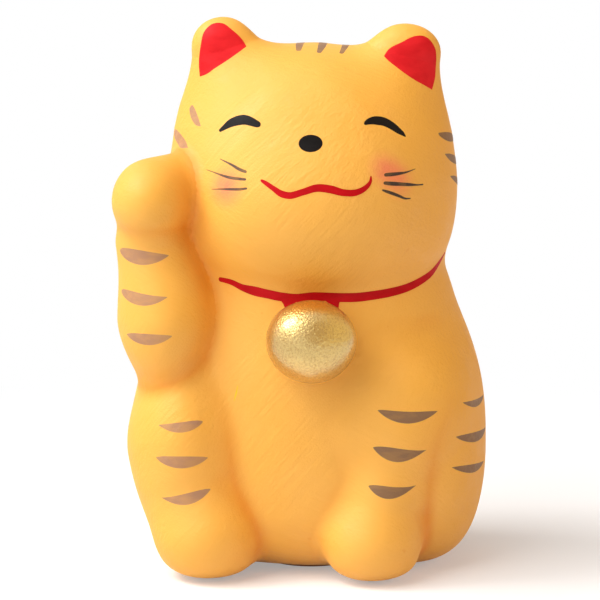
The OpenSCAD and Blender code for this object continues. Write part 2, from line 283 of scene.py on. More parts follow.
class Form:
    """The clay's form: the places of its masses, and their fields."""

    def __init__(self, sizes):
        mm = SimpleNamespace(**{key: getattr(sizes, key) / MM for key in CatForm.__annotations__})
        self.mm = mm
        self.torso_c = point(0, 0.5, mm.torso_level)
        chest = self.torso_c[1] - mm.torso_depth / 2
        self.foreleg_top, self.knee_c, self.elbow_c = (
            point(mm.torso_width * share, chest + behind, mm.torso_level + above)
            for share, behind, above in BESIDE_TORSO.values()
        )
        self.haunch_c = point(mm.torso_width * 0.341, -0.5, mm.torso_level - 0.8)
        self.forepaw_c = point(mm.forepaw_offset, chest + FOREPAW_DEEP_HIGH[0] - mm.forepaw_out, 4.3)
        self.hindpaw_c = point(-mm.hindpaw_offset, chest + 3.6, 4.5)
        self.head_c = point(0.1, 0, mm.head_level)
        self.crown_z = mm.head_level + mm.crown
        self.muzzle_c = point(0, MUZZLE_DEEP_HIGH[0] - mm.head_depth / 2, mm.head_level - 1.8)
        self.ear_foot = point(mm.ear_offset - 2.0, 0, self.crown_z - 7.6)
        self.ear_tip = point(mm.ear_offset, 0, self.crown_z + mm.ear_height - mm.ear_radius)
        paw_x = -mm.head_width / 2 - mm.paw_out
        self.paw_c = point(paw_x, -mm.head_depth * 0.356, mm.head_level - mm.paw_drop)
        x, z = TAIL_FOOT
        run = TAIL_LEAN * mm.tail_length
        self.tail_root = self.on_body(x, z, 1) + point(0, 0.6, 0)
        self.tail_tip = self.on_body(x - run, z + run, 1) + point(0, 1.0, 0)

    def on_body(self, x, z, way):
        """The point of the body's surface at x and z, on the back for way 1 and the front for -1."""
        return meet(self.body, point(x, 0, z)[None], point(0, way, 0)[None])[0]

    def torso(self, p):
        """The torso's egg."""
        mm = self.mm
        up, down = mm.torso_top - mm.torso_level, mm.torso_level + mm.torso_under
        half_width, half_depth = mm.torso_width / 2, mm.torso_depth / 2
        return egg(p, self.torso_c, half_width, half_depth, up, down, FULL, FULL_NECK, FULL)

    def head(self, p):
        """The head's egg with a full jaw, and the muzzle's swelling."""
        mm = self.mm
        half_width, half_depth = mm.head_width / 2, mm.head_depth / 2
        skull = egg(p, self.head_c, half_width, half_depth, mm.crown, mm.chin, FULL, FULL_CROWN, FULL_JAW)
        deep, high = MUZZLE_DEEP_HIGH
        muzzle = ellipsoid(p, self.muzzle_c, [mm.muzzle_width / 2, deep + mm.muzzle_out, high])
        return smooth_min(skull, muzzle, FILLETS["muzzle"])

    def ears(self, p):
        """Flattened cones, each with a rib down the head's side. The field is taken times 0.8, because
        flattening steepens it."""
        mm = self.mm
        plus = p[..., 0] > 0
        out = np.abs(p[..., 0]) - np.where(plus, mm.ear_spread, 0.0)
        back = (p[..., 1] - EAR_PLANE) / EAR_FLATTENING
        q = np.stack([out, back, p[..., 2] + np.where(plus, mm.ear_sag, 0.0)], -1)
        cone = limb(q, self.ear_foot, self.ear_tip, EAR_FOOT_RADIUS, mm.ear_radius)
        rib_foot = self.ear_foot + point(*RIB_FOOT)
        rib_plus, rib_minus = (
            limb(q, rib_foot, self.ear_tip + point(outside, 0, 0), RIB_RADIUS, mm.ear_radius - 1)
            for outside in RIB_ENDS
        )
        return 0.8 * smooth_min(cone, np.where(plus, rib_plus, rib_minus), FILLETS["ear rib"])

    def haunches(self, p):
        """An egg on each side."""
        q = np.stack([np.abs(p[..., 0]), p[..., 1], p[..., 2]], -1)
        return egg(q, self.haunch_c, self.mm.haunch_width / 2, *HAUNCH_DEEP_UP_DOWN, *[FULL_HAUNCH] * 3)

    def standing_foreleg(self, p):
        """A limb down to a rounded paw, on the +X side."""
        mm = self.mm
        foot = self.forepaw_c + point(0.3, 0.4, 1.1)
        leg = limb(p, self.foreleg_top, foot, mm.foreleg_radius, mm.foreleg_radius + 0.1)
        paw = ellipsoid(p, self.forepaw_c, [mm.forepaw_width / 2, *FOREPAW_DEEP_HIGH])
        return smooth_min(leg, paw, FILLETS["limb"])

    def hind_leg(self, p):
        """A knee, a shin and a paw, on the -X side."""
        mm = self.mm
        knee = ellipsoid(p, self.knee_c, KNEE_RADII)
        shin_top, shin_end = self.knee_c + point(0, -2.7, 0), self.hindpaw_c + point(-0.6, 0.3, 1.5)
        shin = limb(p, shin_top, shin_end, mm.shin_radius, mm.shin_radius - 0.9)
        paw = ellipsoid(p, self.hindpaw_c, [mm.hindpaw_width / 2, *HINDPAW_DEEP_HIGH])
        return smooth_min(smooth_min(knee, shin, FILLETS["knee"]), paw, FILLETS["ankle"])

    def body(self, p):
        """The moulded body: trunk, head and ears, cut level at the base."""
        top = smooth_min(self.head(p), self.ears(p), FILLETS["ear"])
        return np.maximum(smooth_min(self.trunk(p), top, FILLETS["neck"]) - self.undulation(p), -p[..., 2])

    def trunk(self, p):
        """Torso, haunches and legs, rounded under the base. The standing foreleg's fillet widens with its
        height, on a cubic with level ends."""
        under = -p[..., 2]
        trunk = smooth_max(self.torso(p), under, ROUNDS["belly"])
        trunk = smooth_min(trunk, smooth_max(self.haunches(p), under, ROUNDS["haunch"]), FILLETS["haunch"])
        legs = np.minimum(self.standing_foreleg(p), self.hind_leg(p))
        low, high = SHOULDER_RISE
        rise = np.clip((p[..., 2] - low) / (high - low), 0, 1) * (p[..., 0] > 0)
        fillet = FILLETS["limb"] + (FILLETS["shoulder"] - FILLETS["limb"]) * rise * rise * (3 - 2 * rise)
        return smooth_min(trunk, smooth_max(legs, under, ROUNDS["paw"]), fillet)

    def undulation(self, p):
        """The faint unevenness of hand-smoothed clay: three long waves that cross."""
        x, y, z = p[..., 0], p[..., 1], p[..., 2]
        waves = np.sin(0.9 * x + 0.5 * z + 1.3) + np.sin(0.7 * z - 0.6 * y + 0.4) + np.sin(0.8 * y + 0.45 * x)
        return self.mm.unevenness / 3 * waves

    def raised_foreleg(self, p):
        """An elbow, a forearm and the beckoning paw, with a soft crease at the wrist."""
        mm = self.mm
        elbow = ellipsoid(p, self.elbow_c, ELBOW_RADII)
        arm_low, wrist = self.elbow_c + point(-0.3, -0.5, 2.6), self.paw_c + point(0.1, 1.4, -4.9)
        forearm = limb(p, arm_low, wrist, mm.forearm_radius, mm.wrist_radius)
        paw = ellipsoid(p, self.paw_c, mm.paw_radius + np.array([0, 0.5, 0.4]))
        web = ellipsoid(p, self.paw_c + point(2.9, 3.2, 1.1), WEB_RADII)
        paw = smooth_min(paw, web, FILLETS["paw"])
        arm = smooth_min(elbow, forearm, FILLETS["elbow"])
        return smooth_min(arm, paw, FILLETS["wrist"]) - self.undulation(p)

    def tail(self, p):
        """A stub that tapers a little."""
        return limb(p, self.tail_root, self.tail_tip, self.mm.tail_root_radius, self.mm.tail_tip_radius)

    def whole(self, p):
        """The figurine's clay as one surface, with slip smoothed into the joints."""
        limbs = np.minimum(self.raised_foreleg(p), self.tail(p))
        return smooth_min(self.body(p), limbs, FILLETS["lute"])

    def crease(self, p, field, reaches):
        """How hollow a field is round each point, 0 to 1: at each reach, the point's own value less the
        mean of six neighbours', times a gain. It sets where painted shade darkens the coat."""
        own = field(p)
        total = 0 * own
        for reach, gain in reaches:
            mean = sum(field(p + way * reach * axis) for axis in np.eye(3) for way in (-1, 1)) / 6
            total = total + np.maximum(own - mean, 0) * gain
        return np.minimum(total, 1)

    def joint(self, p):
        """Painted shade along a limb's joint with the body, 0 to 1: from the difference of their fields,
        which is zero on the joint. The painted shadow in the fold under the beckoning paw is added: it grows
        over the first
        1.5 mm off the body, and is gone 14 mm off it."""
        u = self.body(p) - np.minimum(self.raised_foreleg(p), self.tail(p))
        fold = fading(p[..., 2] - self.paw_c[2] + FOLD_SHADOW_DROP, *FOLD_SHADOW_REACHES)
        fold = FOLD_SHADOW_GAIN * fold * np.clip(u / 1.5, 0, 1) * np.clip(1.3 - u / 11, 0, 1)
        return JOINT_SHADE_GAIN * fading(u, *JOINT_SHADE_REACHES) + fold

    def leg_edge_shade(self, p):
        """Painted shade along a leg's +X edge, which faces away from the light, 0 to 1: the leg's field less
        the nearest other mass's is zero on the edge. It fades to the leg's middle, to the back, and above the
        knee."""
        x, y, z = np.moveaxis(p, -1, 0)
        legs = np.minimum(self.standing_foreleg(p), self.hind_leg(p))
        u = legs - np.minimum(self.torso(p), self.haunches(p))
        middle = np.where(x > 0, self.foreleg_top[0] - 0.5, self.hindpaw_c[0] + 0.5)
        low, high = LEG_EDGE_RISE
        fade = np.clip((x - middle) / 2.5, 0, 1) * np.clip(-y / 4, 0, 1)
        fade = fade * np.clip((high - z) / (high - low), 0, 1)
        return fading(u, LEG_EDGE_REACH, LEG_EDGE_REACH) * fade

    def hollow(self, p):
        """The space inside the moulded body, over a level floor."""
        return smooth_max(self.body(p) + self.mm.wall, self.mm.floor - p[..., 2], ROUNDS["floor"])


def shared(own, other):
    """A piece's field where it shares a fillet of slip with another piece.

    With u the difference of the fields, the fillet stands (k + u)^2 / 4k off the piece's own form up to
    the joint at u = 0. Past it the surface turns down on a parabola and dives under the other piece.
    """
    k = FILLETS["lute"]
    u = own - other
    rising = np.maximum(k + np.minimum(u, 0), 0) ** 2 / (4 * k)
    diving = np.maximum(np.where(u > 0, u / 2 - u * u / 2, 0.0), -0.3 - k / 4)
    return own - rising - diving


# ---------------------------------------------------------------- skins


def meet(field, starts, ways, tries=48):
    """The points where rays meet a field's surface, by stepping nine tenths of the field's value."""
    t = np.zeros(len(starts))
    live = np.arange(len(starts))
    for _ in range(tries):
        value = field(starts[live] + t[live, None] * ways[live])
        t[live] -= 0.9 * value
        live = live[np.abs(value) > 1e-4]
        if len(live) == 0:
            break
    return starts + t[:, None] * ways


def slope_of(field, points):
    """Unit outward normals: the field's differences along the corners of a small tetrahedron."""
    corners = np.array([[1, -1, -1], [-1, -1, 1], [-1, 1, -1], [1, 1, 1]], float)
    total = sum(corner * field(points + 0.01 * corner)[:, None] for corner in corners)
    return total / size_of(total)[:, None]


def heading(turn, lift):
    """Unit vectors at a turn about the upright axis and a lift above level, both in degrees."""
    turn, lift = np.radians(turn), np.radians(lift)
    return np.stack([np.cos(turn) * np.cos(lift), np.sin(turn) * np.cos(lift), np.sin(lift) + 0 * turn], -1)


# Painted shade in creases is felt at these reaches, each with its gain: the paint's, the luted clay's and the
# trunk's.
CREASE_SHADE = ((1.2, 1.6), (2.8, 0.9))
CREASE_SHADE_OF_LUTED = ((1.2, 0.7),)
CREASE_SHADE_OF_TRUNK = ((0.9, 9.0), (2.0, 1.8))
# The most that the painted shade of luted clay's creases and joints comes to together.
DEEPEST_SHADE = 0.9


class Skin:
    """A mesh under construction: points, their normals, and faces wound to face outwards."""

    def __init__(self):
        self.points = []
        self.normals = []
        self.faces = []
        self.flat = []
        self.total = 0

    def add(self, points, normals=None):
        """Add an array of points of any shape, and return their numbers in that shape."""
        flat = points.reshape(-1, 3)
        self.points.append(flat)
        self.normals.append(np.zeros_like(flat) if normals is None else normals.reshape(-1, 3))
        numbers = np.arange(self.total, self.total + len(flat)).reshape(points.shape[:-1])
        self.total += len(flat)
        return numbers

    def strip(self, grid, wrap=False, flat=False):
        """Quads between neighbouring rows and columns of a grid of point numbers."""
        if wrap:
            grid = np.concatenate([grid, grid[:, :1]], 1)
        quads = np.stack([grid[:-1, :-1], grid[:-1, 1:], grid[1:, 1:], grid[1:, :-1]], -1).reshape(-1, 4)
        self.faces += quads.tolist()
        self.flat += [flat] * len(quads)

    def fan(self, ring, tip, wrap=False):
        """Triangles from each edge of a ring to one tip."""
        ring = np.append(ring, ring[0]) if wrap else ring
        triangles = np.stack([ring[:-1], ring[1:], np.full(len(ring) - 1, tip)], -1)
        self.faces += triangles.tolist()
        self.flat += [False] * len(triangles)

    def face(self, ring):
        """One flat face round a ring of point numbers."""
        self.faces.append([int(number) for number in ring])
        self.flat.append(True)

    def creases(self, form, points, luted, body):
        """How much painted shade each point gets, 0 to 1, from how deep in a crease it lies. Luted clay adds
        the painted shade along its joints. The body adds its trunk's creases as painted shade, stronger where
        the surface faces +X away from the lights, and the painted shade along the legs' edges."""
        creases = form.crease(points, form.whole, CREASE_SHADE_OF_LUTED if luted else CREASE_SHADE)
        if body:
            # Painted shade: the trunk's creases darken more on surfaces that face +X, away from the lights.
            away_from_light = np.clip(0.3 + 1.3 * np.concatenate(self.normals)[:, 0], 0.12, 1)
            near = np.clip(1 - form.trunk(points) / 1.5, 0, 1) * away_from_light
            creases = np.maximum(form.crease(points, form.trunk, CREASE_SHADE_OF_TRUNK) * near, creases)
            creases = creases + LEG_EDGE_SHADE_GAIN * form.leg_edge_shade(points)
        return np.minimum(creases + form.joint(points), DEEPEST_SHADE) if luted else creases

    def piece(self, name, form, material, slot, replaces=(), luted=False, body=False):
        """Put the mesh into the scene at the origin, with its normals and creases, and let it ride on the
        clay."""
        points = np.concatenate(self.points)
        mesh = bpy.data.meshes.new(name)
        mesh.from_pydata((points * MM).tolist(), [], self.faces)
        creases = self.creases(form, points, luted, body)
        # The crease attribute carries the painted shade to the coat's shader.
        mesh.attributes.new("crease", "FLOAT", "POINT").data.foreach_set("value", creases)
        corner_points = np.empty(len(mesh.loops), int)
        mesh.loops.foreach_get("vertex_index", corner_points)
        normals = np.concatenate(self.normals)[corner_points]
        sizes = np.empty(len(mesh.polygons), int)
        mesh.polygons.foreach_get("loop_total", sizes)
        normals[np.repeat(np.array(self.flat), sizes)] = 0
        mesh.polygons.foreach_set("use_smooth", ~np.array(self.flat))
        mesh.normals_split_custom_set(normals.tolist())
        mesh.materials.append(material)
        made = bpy.data.objects.new(name, mesh)
        bpy.context.scene.collection.objects.link(made)
        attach(made, CLAY_BODY)
        if replaces:
            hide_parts(*replaces)
        return made


# ---------------------------------------------------------------- the moulded halves

# The height of the lowest rays' start, and of the highest rays' above the head's widest level.
HUB = 8.0
CROWN_HUB = 1.6
# Rows of the hollow's skin in its three bands, and how many of the outside's go to one of them.
BANDS = (8, 26, 20)
OUTER_PER_INNER = 5
# How much higher the outside's first rays point than a ray to the seat's foot, in degrees.
FIRST_LIFT = 2


def rays(low, bands, form):
    """Heights of hubs and lifts of rays, from the lift low up through a fan, a stack of levels and a fan
    to the crown, with bands for how many rows each has."""
    top_hub = form.mm.head_level + CROWN_HUB
    below = np.linspace(low, 0, bands[0], endpoint=False)
    levels = np.linspace(HUB, top_hub, bands[1], endpoint=False)
    above = np.linspace(0, 90, bands[2] + 1)
    hubs = np.concatenate([np.full(bands[0], HUB), levels, np.full(bands[2] + 1, top_hub)])
    lifts = np.concatenate([below, np.zeros(bands[1]), above])
    return hubs, lifts


def upright_skin(field, hubs, lifts, turns):
    """The meeting points of rays from the upright axis, a row for each hub and lift, a column for each
    turn."""
    shape = (len(hubs), len(turns))
    starts = np.zeros(shape + (3,))
    starts[..., 2] = hubs[:, None]
    ways = heading(np.broadcast_to(turns, shape), np.broadcast_to(lifts[:, None], shape))
    return meet(field, starts.reshape(-1, 3), ways.reshape(-1, 3)).reshape(shape + (3,))


def circle_row(radius, z, turns):
    """Points at a radius and height, one for each turn."""
    turns = np.radians(turns)
    return np.stack([radius * np.cos(turns), radius * np.sin(turns), z + 0 * turns], -1)


def half_shell(form, turns):
    """One moulded half, closed: hollow, floor, ledge, seat, outside, and the flat faces of the seam."""

    def outside(p):
        return shared(form.body(p), np.minimum(form.raised_foreleg(p), form.tail(p)))

    seat = (DISC_HIGH[0] - DISC_LOW[0]) / 2 + form.mm.lute
    ledge_z = DISC_HIGH[2] + form.mm.lute
    opening = seat - form.mm.ledge
    low = -math.degrees(math.atan((HUB - form.mm.floor) / opening))
    seat_low = -math.degrees(math.atan(HUB / seat))

    inner = upright_skin(form.hollow, *rays(low, BANDS, form), turns)
    hubs, lifts = rays(low, tuple(OUTER_PER_INNER * n for n in BANDS), form)
    base_lifts = np.linspace(seat_low + FIRST_LIFT, low, OUTER_PER_INNER + 1)[:-1]
    hubs = np.concatenate([np.full(OUTER_PER_INNER, HUB), hubs])
    lifts = np.concatenate([base_lifts, lifts])
    outer = upright_skin(outside, hubs, lifts, turns)
    rim = circle_row(seat, HUB / 2, turns)
    rim = meet(form.body, rim, np.broadcast_to(point(0, 0, -1), rim.shape))

    skin = Skin()
    inner_numbers = skin.add(inner[:-1], -slope_of(form.hollow, inner[:-1].reshape(-1, 3)))
    inner_tip = int(skin.add(inner[-1, :1], point(0, 0, -1)[None])[0])
    step = skin.add(np.stack([circle_row(opening, ledge_z, turns), circle_row(seat, ledge_z, turns)]))
    edge = skin.add(rim[None], np.broadcast_to(point(0, 0, -1), rim.shape))
    outer_numbers = skin.add(outer[:-1], slope_of(outside, outer[:-1].reshape(-1, 3)))
    outer_tip = int(skin.add(outer[-1, :1], point(0, 0, 1)[None])[0])

    skin.fan(inner_numbers[-1][::-1], inner_tip)
    skin.strip(inner_numbers[::-1])
    skin.strip(np.concatenate([inner_numbers[:1], step, edge]), flat=True)
    skin.strip(np.concatenate([edge, outer_numbers]))
    skin.fan(outer_numbers[-1], outer_tip)

    for column, backwards in ((0, False), (-1, True)):
        inner_line = np.append(inner_numbers[:, column], inner_tip)
        outer_line = np.append(outer_numbers[OUTER_PER_INNER:, column], outer_tip)
        low_end = outer_numbers[: OUTER_PER_INNER + 1, column]
        foot = np.concatenate([edge[0, column : column + 1 or None], low_end])
        rings = [np.concatenate([foot, inner_line[:1], step[:, column]])]
        for number in range(len(inner_line) - 1):
            first = OUTER_PER_INNER * number
            across = outer_line[first : first + OUTER_PER_INNER + 1]
            rings.append(np.append(across, inner_line[number : number + 2][::-1]))
        for ring in rings:
            skin.face(ring[::-1] if backwards else ring)
    return skin


# ---------------------------------------------------------------- limbs and the bell


def limb_skin(field, start, end, columns, low, middle, high):
    """A closed skin about a line: columns of rays, in a fan of low rows round its start, middle rows
    along it and a fan of high rows round its end."""
    along = (end - start) / size_of(end - start)
    side = np.cross(along, point(0, 1, 0))
    side /= size_of(side)
    other = np.cross(along, side)
    turns = np.radians(np.arange(columns) * 360.0 / columns)
    below, above = np.linspace(-90, 0, low + 1)[1:-1], np.linspace(0, 90, high + 1)[1:-1]
    lifts = np.radians(np.concatenate([below, np.zeros(middle + 1), above]))
    share = np.concatenate([np.zeros(low - 1), np.linspace(0, 1, middle + 1), np.ones(high - 1)])
    around = np.cos(turns)[:, None] * side + np.sin(turns)[:, None] * other
    ways = np.cos(lifts)[:, None, None] * around + np.sin(lifts)[:, None, None] * along
    hubs = np.broadcast_to((start + share[:, None] * (end - start))[:, None], ways.shape)
    grid = meet(field, hubs.reshape(-1, 3), ways.reshape(-1, 3)).reshape(ways.shape)
    tips = meet(field, np.stack([start, end]), np.stack([-along, along]))
    skin = Skin()
    numbers = skin.add(grid, slope_of(field, grid.reshape(-1, 3)))
    first, last = skin.add(tips, slope_of(field, tips))
    skin.fan(np.append(numbers[0], numbers[0, 0])[::-1], int(first))
    skin.strip(numbers, wrap=True)
    skin.fan(numbers[-1], int(last), wrap=True)
    return skin


# ---------------------------------------------------------------- paint films


def curve(stations, n):
    """n points of a smooth curve through stations, spaced evenly: cubic pieces whose slope at a station
    is half the difference of its two neighbours."""
    s = np.asarray(stations, float)
    steps = np.maximum(size_of(np.diff(s, axis=0)), 1e-6)
    knots = np.concatenate([[0], np.cumsum(steps)])
    slopes = np.gradient(s, knots, axis=0)
    at = np.linspace(0, knots[-1], n)
    i = np.clip(np.searchsorted(knots, at, side="right") - 1, 0, len(s) - 2)
    width = (knots[i + 1] - knots[i])[:, None]
    t = ((at - knots[i]) / width[:, 0])[:, None]
    start, end = s[i], s[i + 1]
    return (
        (2 * t**3 - 3 * t**2 + 1) * start
        + (t**3 - 2 * t**2 + t) * width * slopes[i]
        + (3 * t**2 - 2 * t**3) * end
        + (t**3 - t**2) * width * slopes[i + 1]
    )


# The half width that a mark keeps at its closed ends.
TIP = 0.012


def stroke(stations, n=90):
    """The two edges of a brush stroke through stations (u, v, half width): a smooth line, moved to each
    side by the half width, which closes at both ends on a quarter circle."""
    points = curve(stations, n)
    line, half = points[:, :2], points[:, 2]
    along = np.gradient(line, axis=0)
    along /= size_of(along)[:, None]
    across = np.stack([-along[:, 1], along[:, 0]], -1)
    run = np.append(0, np.cumsum(size_of(np.diff(line, axis=0))))
    end = np.minimum(np.minimum(run, run[-1] - run) / np.maximum(half, 0.03), 1)
    half = np.maximum(half * np.sqrt(1 - (1 - end) ** 2), TIP)
    return line - across * half[:, None], line + across * half[:, None]


# The rays of the front chart start at this y, and those of the top chart at this z, inside the clay.
FRONT_START, TOP_START = -9.5, 57
# The radius on which an arc of the round chart is measured.
ROUND_RADIUS = 16.0


def front_chart(u, v):
    """Places (x, z) seen from the front: rays along -Y."""
    zero = 0 * u
    return np.stack([u, zero + FRONT_START, v], -1), np.broadcast_to(point(0, -1, 0), u.shape + (3,))


def top_chart(u, v):
    """Places (x, y) seen from above: rays along +Z."""
    return np.stack([u, v, 0 * u + TOP_START], -1), np.broadcast_to(point(0, 0, 1), u.shape + (3,))


def round_chart(u, v):
    """Places (arc, z) wrapped round the upright axis: level rays at the turn of that arc."""
    return np.stack([0 * u, 0 * u, v], -1), heading(np.degrees(u / ROUND_RADIUS), 0.0)


def turned(stations):
    """Stations whose first number is a turn in degrees, moved onto the round chart."""
    return [(math.radians(turn) * ROUND_RADIUS, *rest) for turn, *rest in stations]


# How many points lie across a broad film.
BROAD = 31
# How far a film's underside and its edges lie under the clay's surface, and how wide its rising edge is.
FILM_UNDER = 0.12
FILM_EDGE = 0.02
FILM_SLOPE = 0.1


def lay_film(skin, form, chart, lower, upper, thickness, across=11):
    """A closed film between two edges on a chart: places go evenly from edge to edge, closer together near
    them, and are carried onto the clay. The top rises from just under the clay to its full thickness within
    a tenth of a millimetre of each edge."""
    t = np.sin(np.linspace(-np.pi / 2, np.pi / 2, across))[:, None, None]
    places = (lower * (1 - t) + upper * (1 + t)) / 2
    width = size_of(upper - lower)[None]
    starts, ways = chart(places[..., 0], places[..., 1])
    shape = starts.shape
    base = meet(form.whole, starts.reshape(-1, 3), np.array(ways).reshape(-1, 3), 90)
    normals = slope_of(form.whole, base)
    base, normals = base.reshape(shape), normals.reshape(shape)
    from_edge = (1 - np.abs(t[..., 0])) / 2 * width
    rise = np.sqrt(np.clip(from_edge / FILM_SLOPE, 0, 1))
    top = base + normals * ((thickness + FILM_EDGE) * rise - FILM_EDGE)[..., None]
    under = base - normals * FILM_UNDER
    du, dv = np.gradient(top, axis=1), np.gradient(top, axis=0)
    if (np.cross(du, dv) * normals).sum() < 0:
        top, under, normals = top[:, ::-1], under[:, ::-1], normals[:, ::-1]
    top_numbers = skin.add(top, normals)
    under_numbers = skin.add(under, -normals)
    skin.strip(top_numbers)
    skin.strip(under_numbers[::-1])

    def border(numbers):
        return np.concatenate([numbers[0, :-1], numbers[:-1, -1], numbers[-1, :0:-1], numbers[:0:-1, 0]])

    skin.strip(np.stack([border(under_numbers), border(top_numbers)]), wrap=True, flat=True)


def leaf(left, right, half, dip, blunt, tail, n=45):
    """The edges of a leaf-shaped stripe. Its line sags on a parabola, and with t the share of its length
    its half width goes as t^blunt (1 - t)^tail, from a blunt end to a drawn-out one."""
    share = (1 - np.cos(np.pi * np.linspace(0, 1, n))) / 2
    line = np.array(left, float) + share[:, None] * (np.array(right, float) - np.array(left, float))
    line[:, 1] -= dip * 4 * share * (1 - share)
    peak = blunt / (blunt + tail)
    width = half * (share / peak) ** blunt * ((1 - share) / (1 - peak)) ** tail
    across = np.stack([0 * share, np.maximum(width, TIP)], -1)
    return line - across, line + across


def between(lower, upper, n=60):
    """The smooth edges of a mark, each through its own places (u, v)."""
    return curve(lower, n), curve(upper, n)


def oval(u, v, half_width, half_height, n=61):
    """The edges of an oval mark: from end to end on a sine, and a cosine to each side."""
    turns = np.linspace(-np.pi / 2, np.pi / 2, n)[:, None]
    line = np.concatenate([u + half_width * np.sin(turns), v + 0 * turns], 1)
    bow = np.maximum(np.cos(turns), TIP) * np.array([0, half_height])
    return line - bow, line + bow


# ---------------------------------------------------------------- marks
# A stroke's stations are (u, v, half width) in millimetres on its chart, and an edge's are (u, v). On the
# round chart u is given as a turn in degrees.

# Thicknesses of dried paint.
FACE_FILM = 0.035
STRIPE_FILM = 0.02
COLLAR_FILM = 0.07

LEFT_EYE = [
    (-10.05, 51.9, 0.15), (-9.45, 52.35, 0.28), (-8.75, 52.85, 0.43), (-7.9, 53.2, 0.52),
    (-7.05, 53.35, 0.54), (-6.25, 53.2, 0.48), (-5.65, 53.0, 0.39), (-5.15, 52.9, 0.27),
]
RIGHT_EYE = [
    (6.55, 53.0, 0.17), (7.0, 53.25, 0.33), (7.55, 53.35, 0.43), (8.15, 53.3, 0.47), (8.75, 53.15, 0.45),
    (9.35, 52.85, 0.41), (9.95, 52.45, 0.37), (10.45, 52.05, 0.31), (10.9, 51.7, 0.21),
    (11.25, 51.35, 0.06),
]
# The nose's middle, half width and half height.
NOSE = (0.6, 51.1, 1.36, 0.93)
MOUTH = [
    (-5.0, 47.1, 0.12), (-4.55, 46.87, 0.22), (-3.45, 46.2, 0.3), (-2.65, 45.7, 0.38), (-1.8, 45.5, 0.39),
    (-0.15, 45.9, 0.38), (1.45, 46.35, 0.43), (2.95, 46.2, 0.45), (4.45, 45.8, 0.39), (5.95, 45.8, 0.36),
    (7.05, 46.4, 0.27), (7.4, 46.9, 0.18), (7.45, 47.5, 0.08),
]
WHISKERS = (
    [(-6.6, 47.85, 0.17), (-7.4, 48.05, 0.19), (-8.3, 48.45, 0.15), (-9.85, 49.0, 0.05)],
    [(-6.65, 47.05, 0.15), (-7.4, 47.05, 0.17), (-8.55, 47.1, 0.17), (-10.65, 47.5, 0.07),
     (-11.45, 47.65, 0.04)],
    [(-6.5, 46.1, 0.12), (-7.3, 45.95, 0.16), (-8.4, 45.85, 0.15), (-9.55, 45.75, 0.11),
     (-10.75, 45.6, 0.04)],
    [(8.9, 47.5, 0.19), (9.65, 47.5, 0.22), (10.55, 47.5, 0.18), (11.35, 47.55, 0.12), (12.4, 47.8, 0.04)],
    [(8.85, 46.65, 0.18), (9.7, 46.5, 0.23), (10.7, 46.35, 0.21), (11.8, 46.15, 0.18), (12.65, 46.0, 0.1),
     (13.3, 45.95, 0.09)],
    [(8.7, 45.9, 0.1), (9.3, 45.65, 0.17), (10.0, 45.35, 0.18), (10.7, 45.0, 0.16), (11.25, 44.7, 0.12),
     (11.9, 44.6, 0.08)],
)
# An ear lining's lower edge and upper edge, and the same for each foot of the collar.
LEFT_LINING = (
    [(-12.7, 57.4), (-11.9, 57.75), (-10.85, 58.5), (-9.7, 59.25), (-8.45, 60.1), (-7.3, 60.92)],
    [(-12.7, 57.42), (-12.85, 58.7), (-12.65, 60.9), (-12.15, 62.7), (-11.25, 63.45), (-10.1, 63.5),
     (-9.0, 62.8), (-7.85, 61.75), (-7.3, 60.95)],
)
RIGHT_LINING = (
    [(8.57, 59.95), (9.05, 59.5), (9.85, 58.9), (11.0, 58.05), (12.15, 57.25), (13.3, 56.55), (14.1, 56.0)],
    [(8.57, 60.0), (9.0, 60.65), (10.6, 61.55), (12.1, 62.2), (13.0, 62.2), (13.6, 61.9), (14.15, 61.25),
     (14.45, 60.6), (14.55, 59.6), (14.5, 58.5), (14.4, 57.2), (14.1, 56.05)],
)

COLLAR = [
    (-136.0, 34.85, 0.27), (-129.0, 34.65, 0.36), (-122.5, 34.1, 0.44), (-117.0, 33.85, 0.58),
    (-110.5, 33.6, 0.56), (-102.5, 33.3, 0.54), (-95.0, 33.2, 0.5), (-86.0, 33.4, 0.52),
    (-78.5, 33.35, 0.52), (-72.5, 33.25, 0.54), (-64.0, 33.2, 0.54), (-55.0, 33.35, 0.52),
    (-46.5, 33.55, 0.5), (-37.0, 33.9, 0.46), (-28.0, 34.5, 0.43), (-22.0, 35.0, 0.4), (-14.0, 36.0, 0.3),
    (-7.0, 36.9, 0.1),
]
COLLAR_FEET = (
    ([(-4.1, 33.35), (-3.2, 33.05), (-2.65, 32.6), (-2.4, 32.1)],
     [(-0.6, 33.6), (-0.8, 33.0), (-1.6, 32.4), (-2.35, 32.08)]),
    ([(1.6, 33.5), (2.2, 32.9), (3.0, 32.4), (3.72, 32.0)],
     [(4.5, 33.4), (4.1, 33.0), (3.85, 32.6), (3.76, 32.0)]),
)

# Leaves: both ends, the half width, the sag, and the exponents of the blunt and the drawn-out end.
FRONT_STRIPES = (
    ((-21.35, 38.3), (-15.55, 38.05), 0.88, 0.39, 0.5, 0.85),
    ((-21.2, 33.6), (-15.6, 33.5), 0.73, 0.47, 0.45, 0.85),
    ((-20.5, 28.8), (-15.05, 29.1), 0.69, 0.35, 0.65, 0.8),
    ((-16.8, 18.65), (-11.65, 19.1), 0.6, 0.33, 0.9, 0.65),
    ((-17.05, 14.9), (-11.05, 15.0), 0.72, 0.36, 0.7, 0.75),
    ((-16.55, 10.2), (-10.75, 11.35), 0.69, 0.52, 1.1, 0.75),
    ((8.3, 20.65), (15.15, 20.35), 0.7, 0.66, 0.75, 0.8),
    ((7.8, 16.35), (14.0, 15.95), 0.84, 0.68, 0.8, 1.2),
    ((7.3, 11.9), (12.85, 11.85), 0.73, 0.68, 0.75, 1.2),
)
HAUNCH_STRIPES = (
    ((-29.6, 20.75), (-3.0, 20.0), 0.45, 0.5, 0.8, 1.0),
    ((-32.7, 16.9), (-4.0, 16.2), 0.6, 0.5, 0.8, 1.0),
    ((-33.3, 13.3), (-8.0, 12.4), 0.53, 0.4, 0.8, 1.0),
)
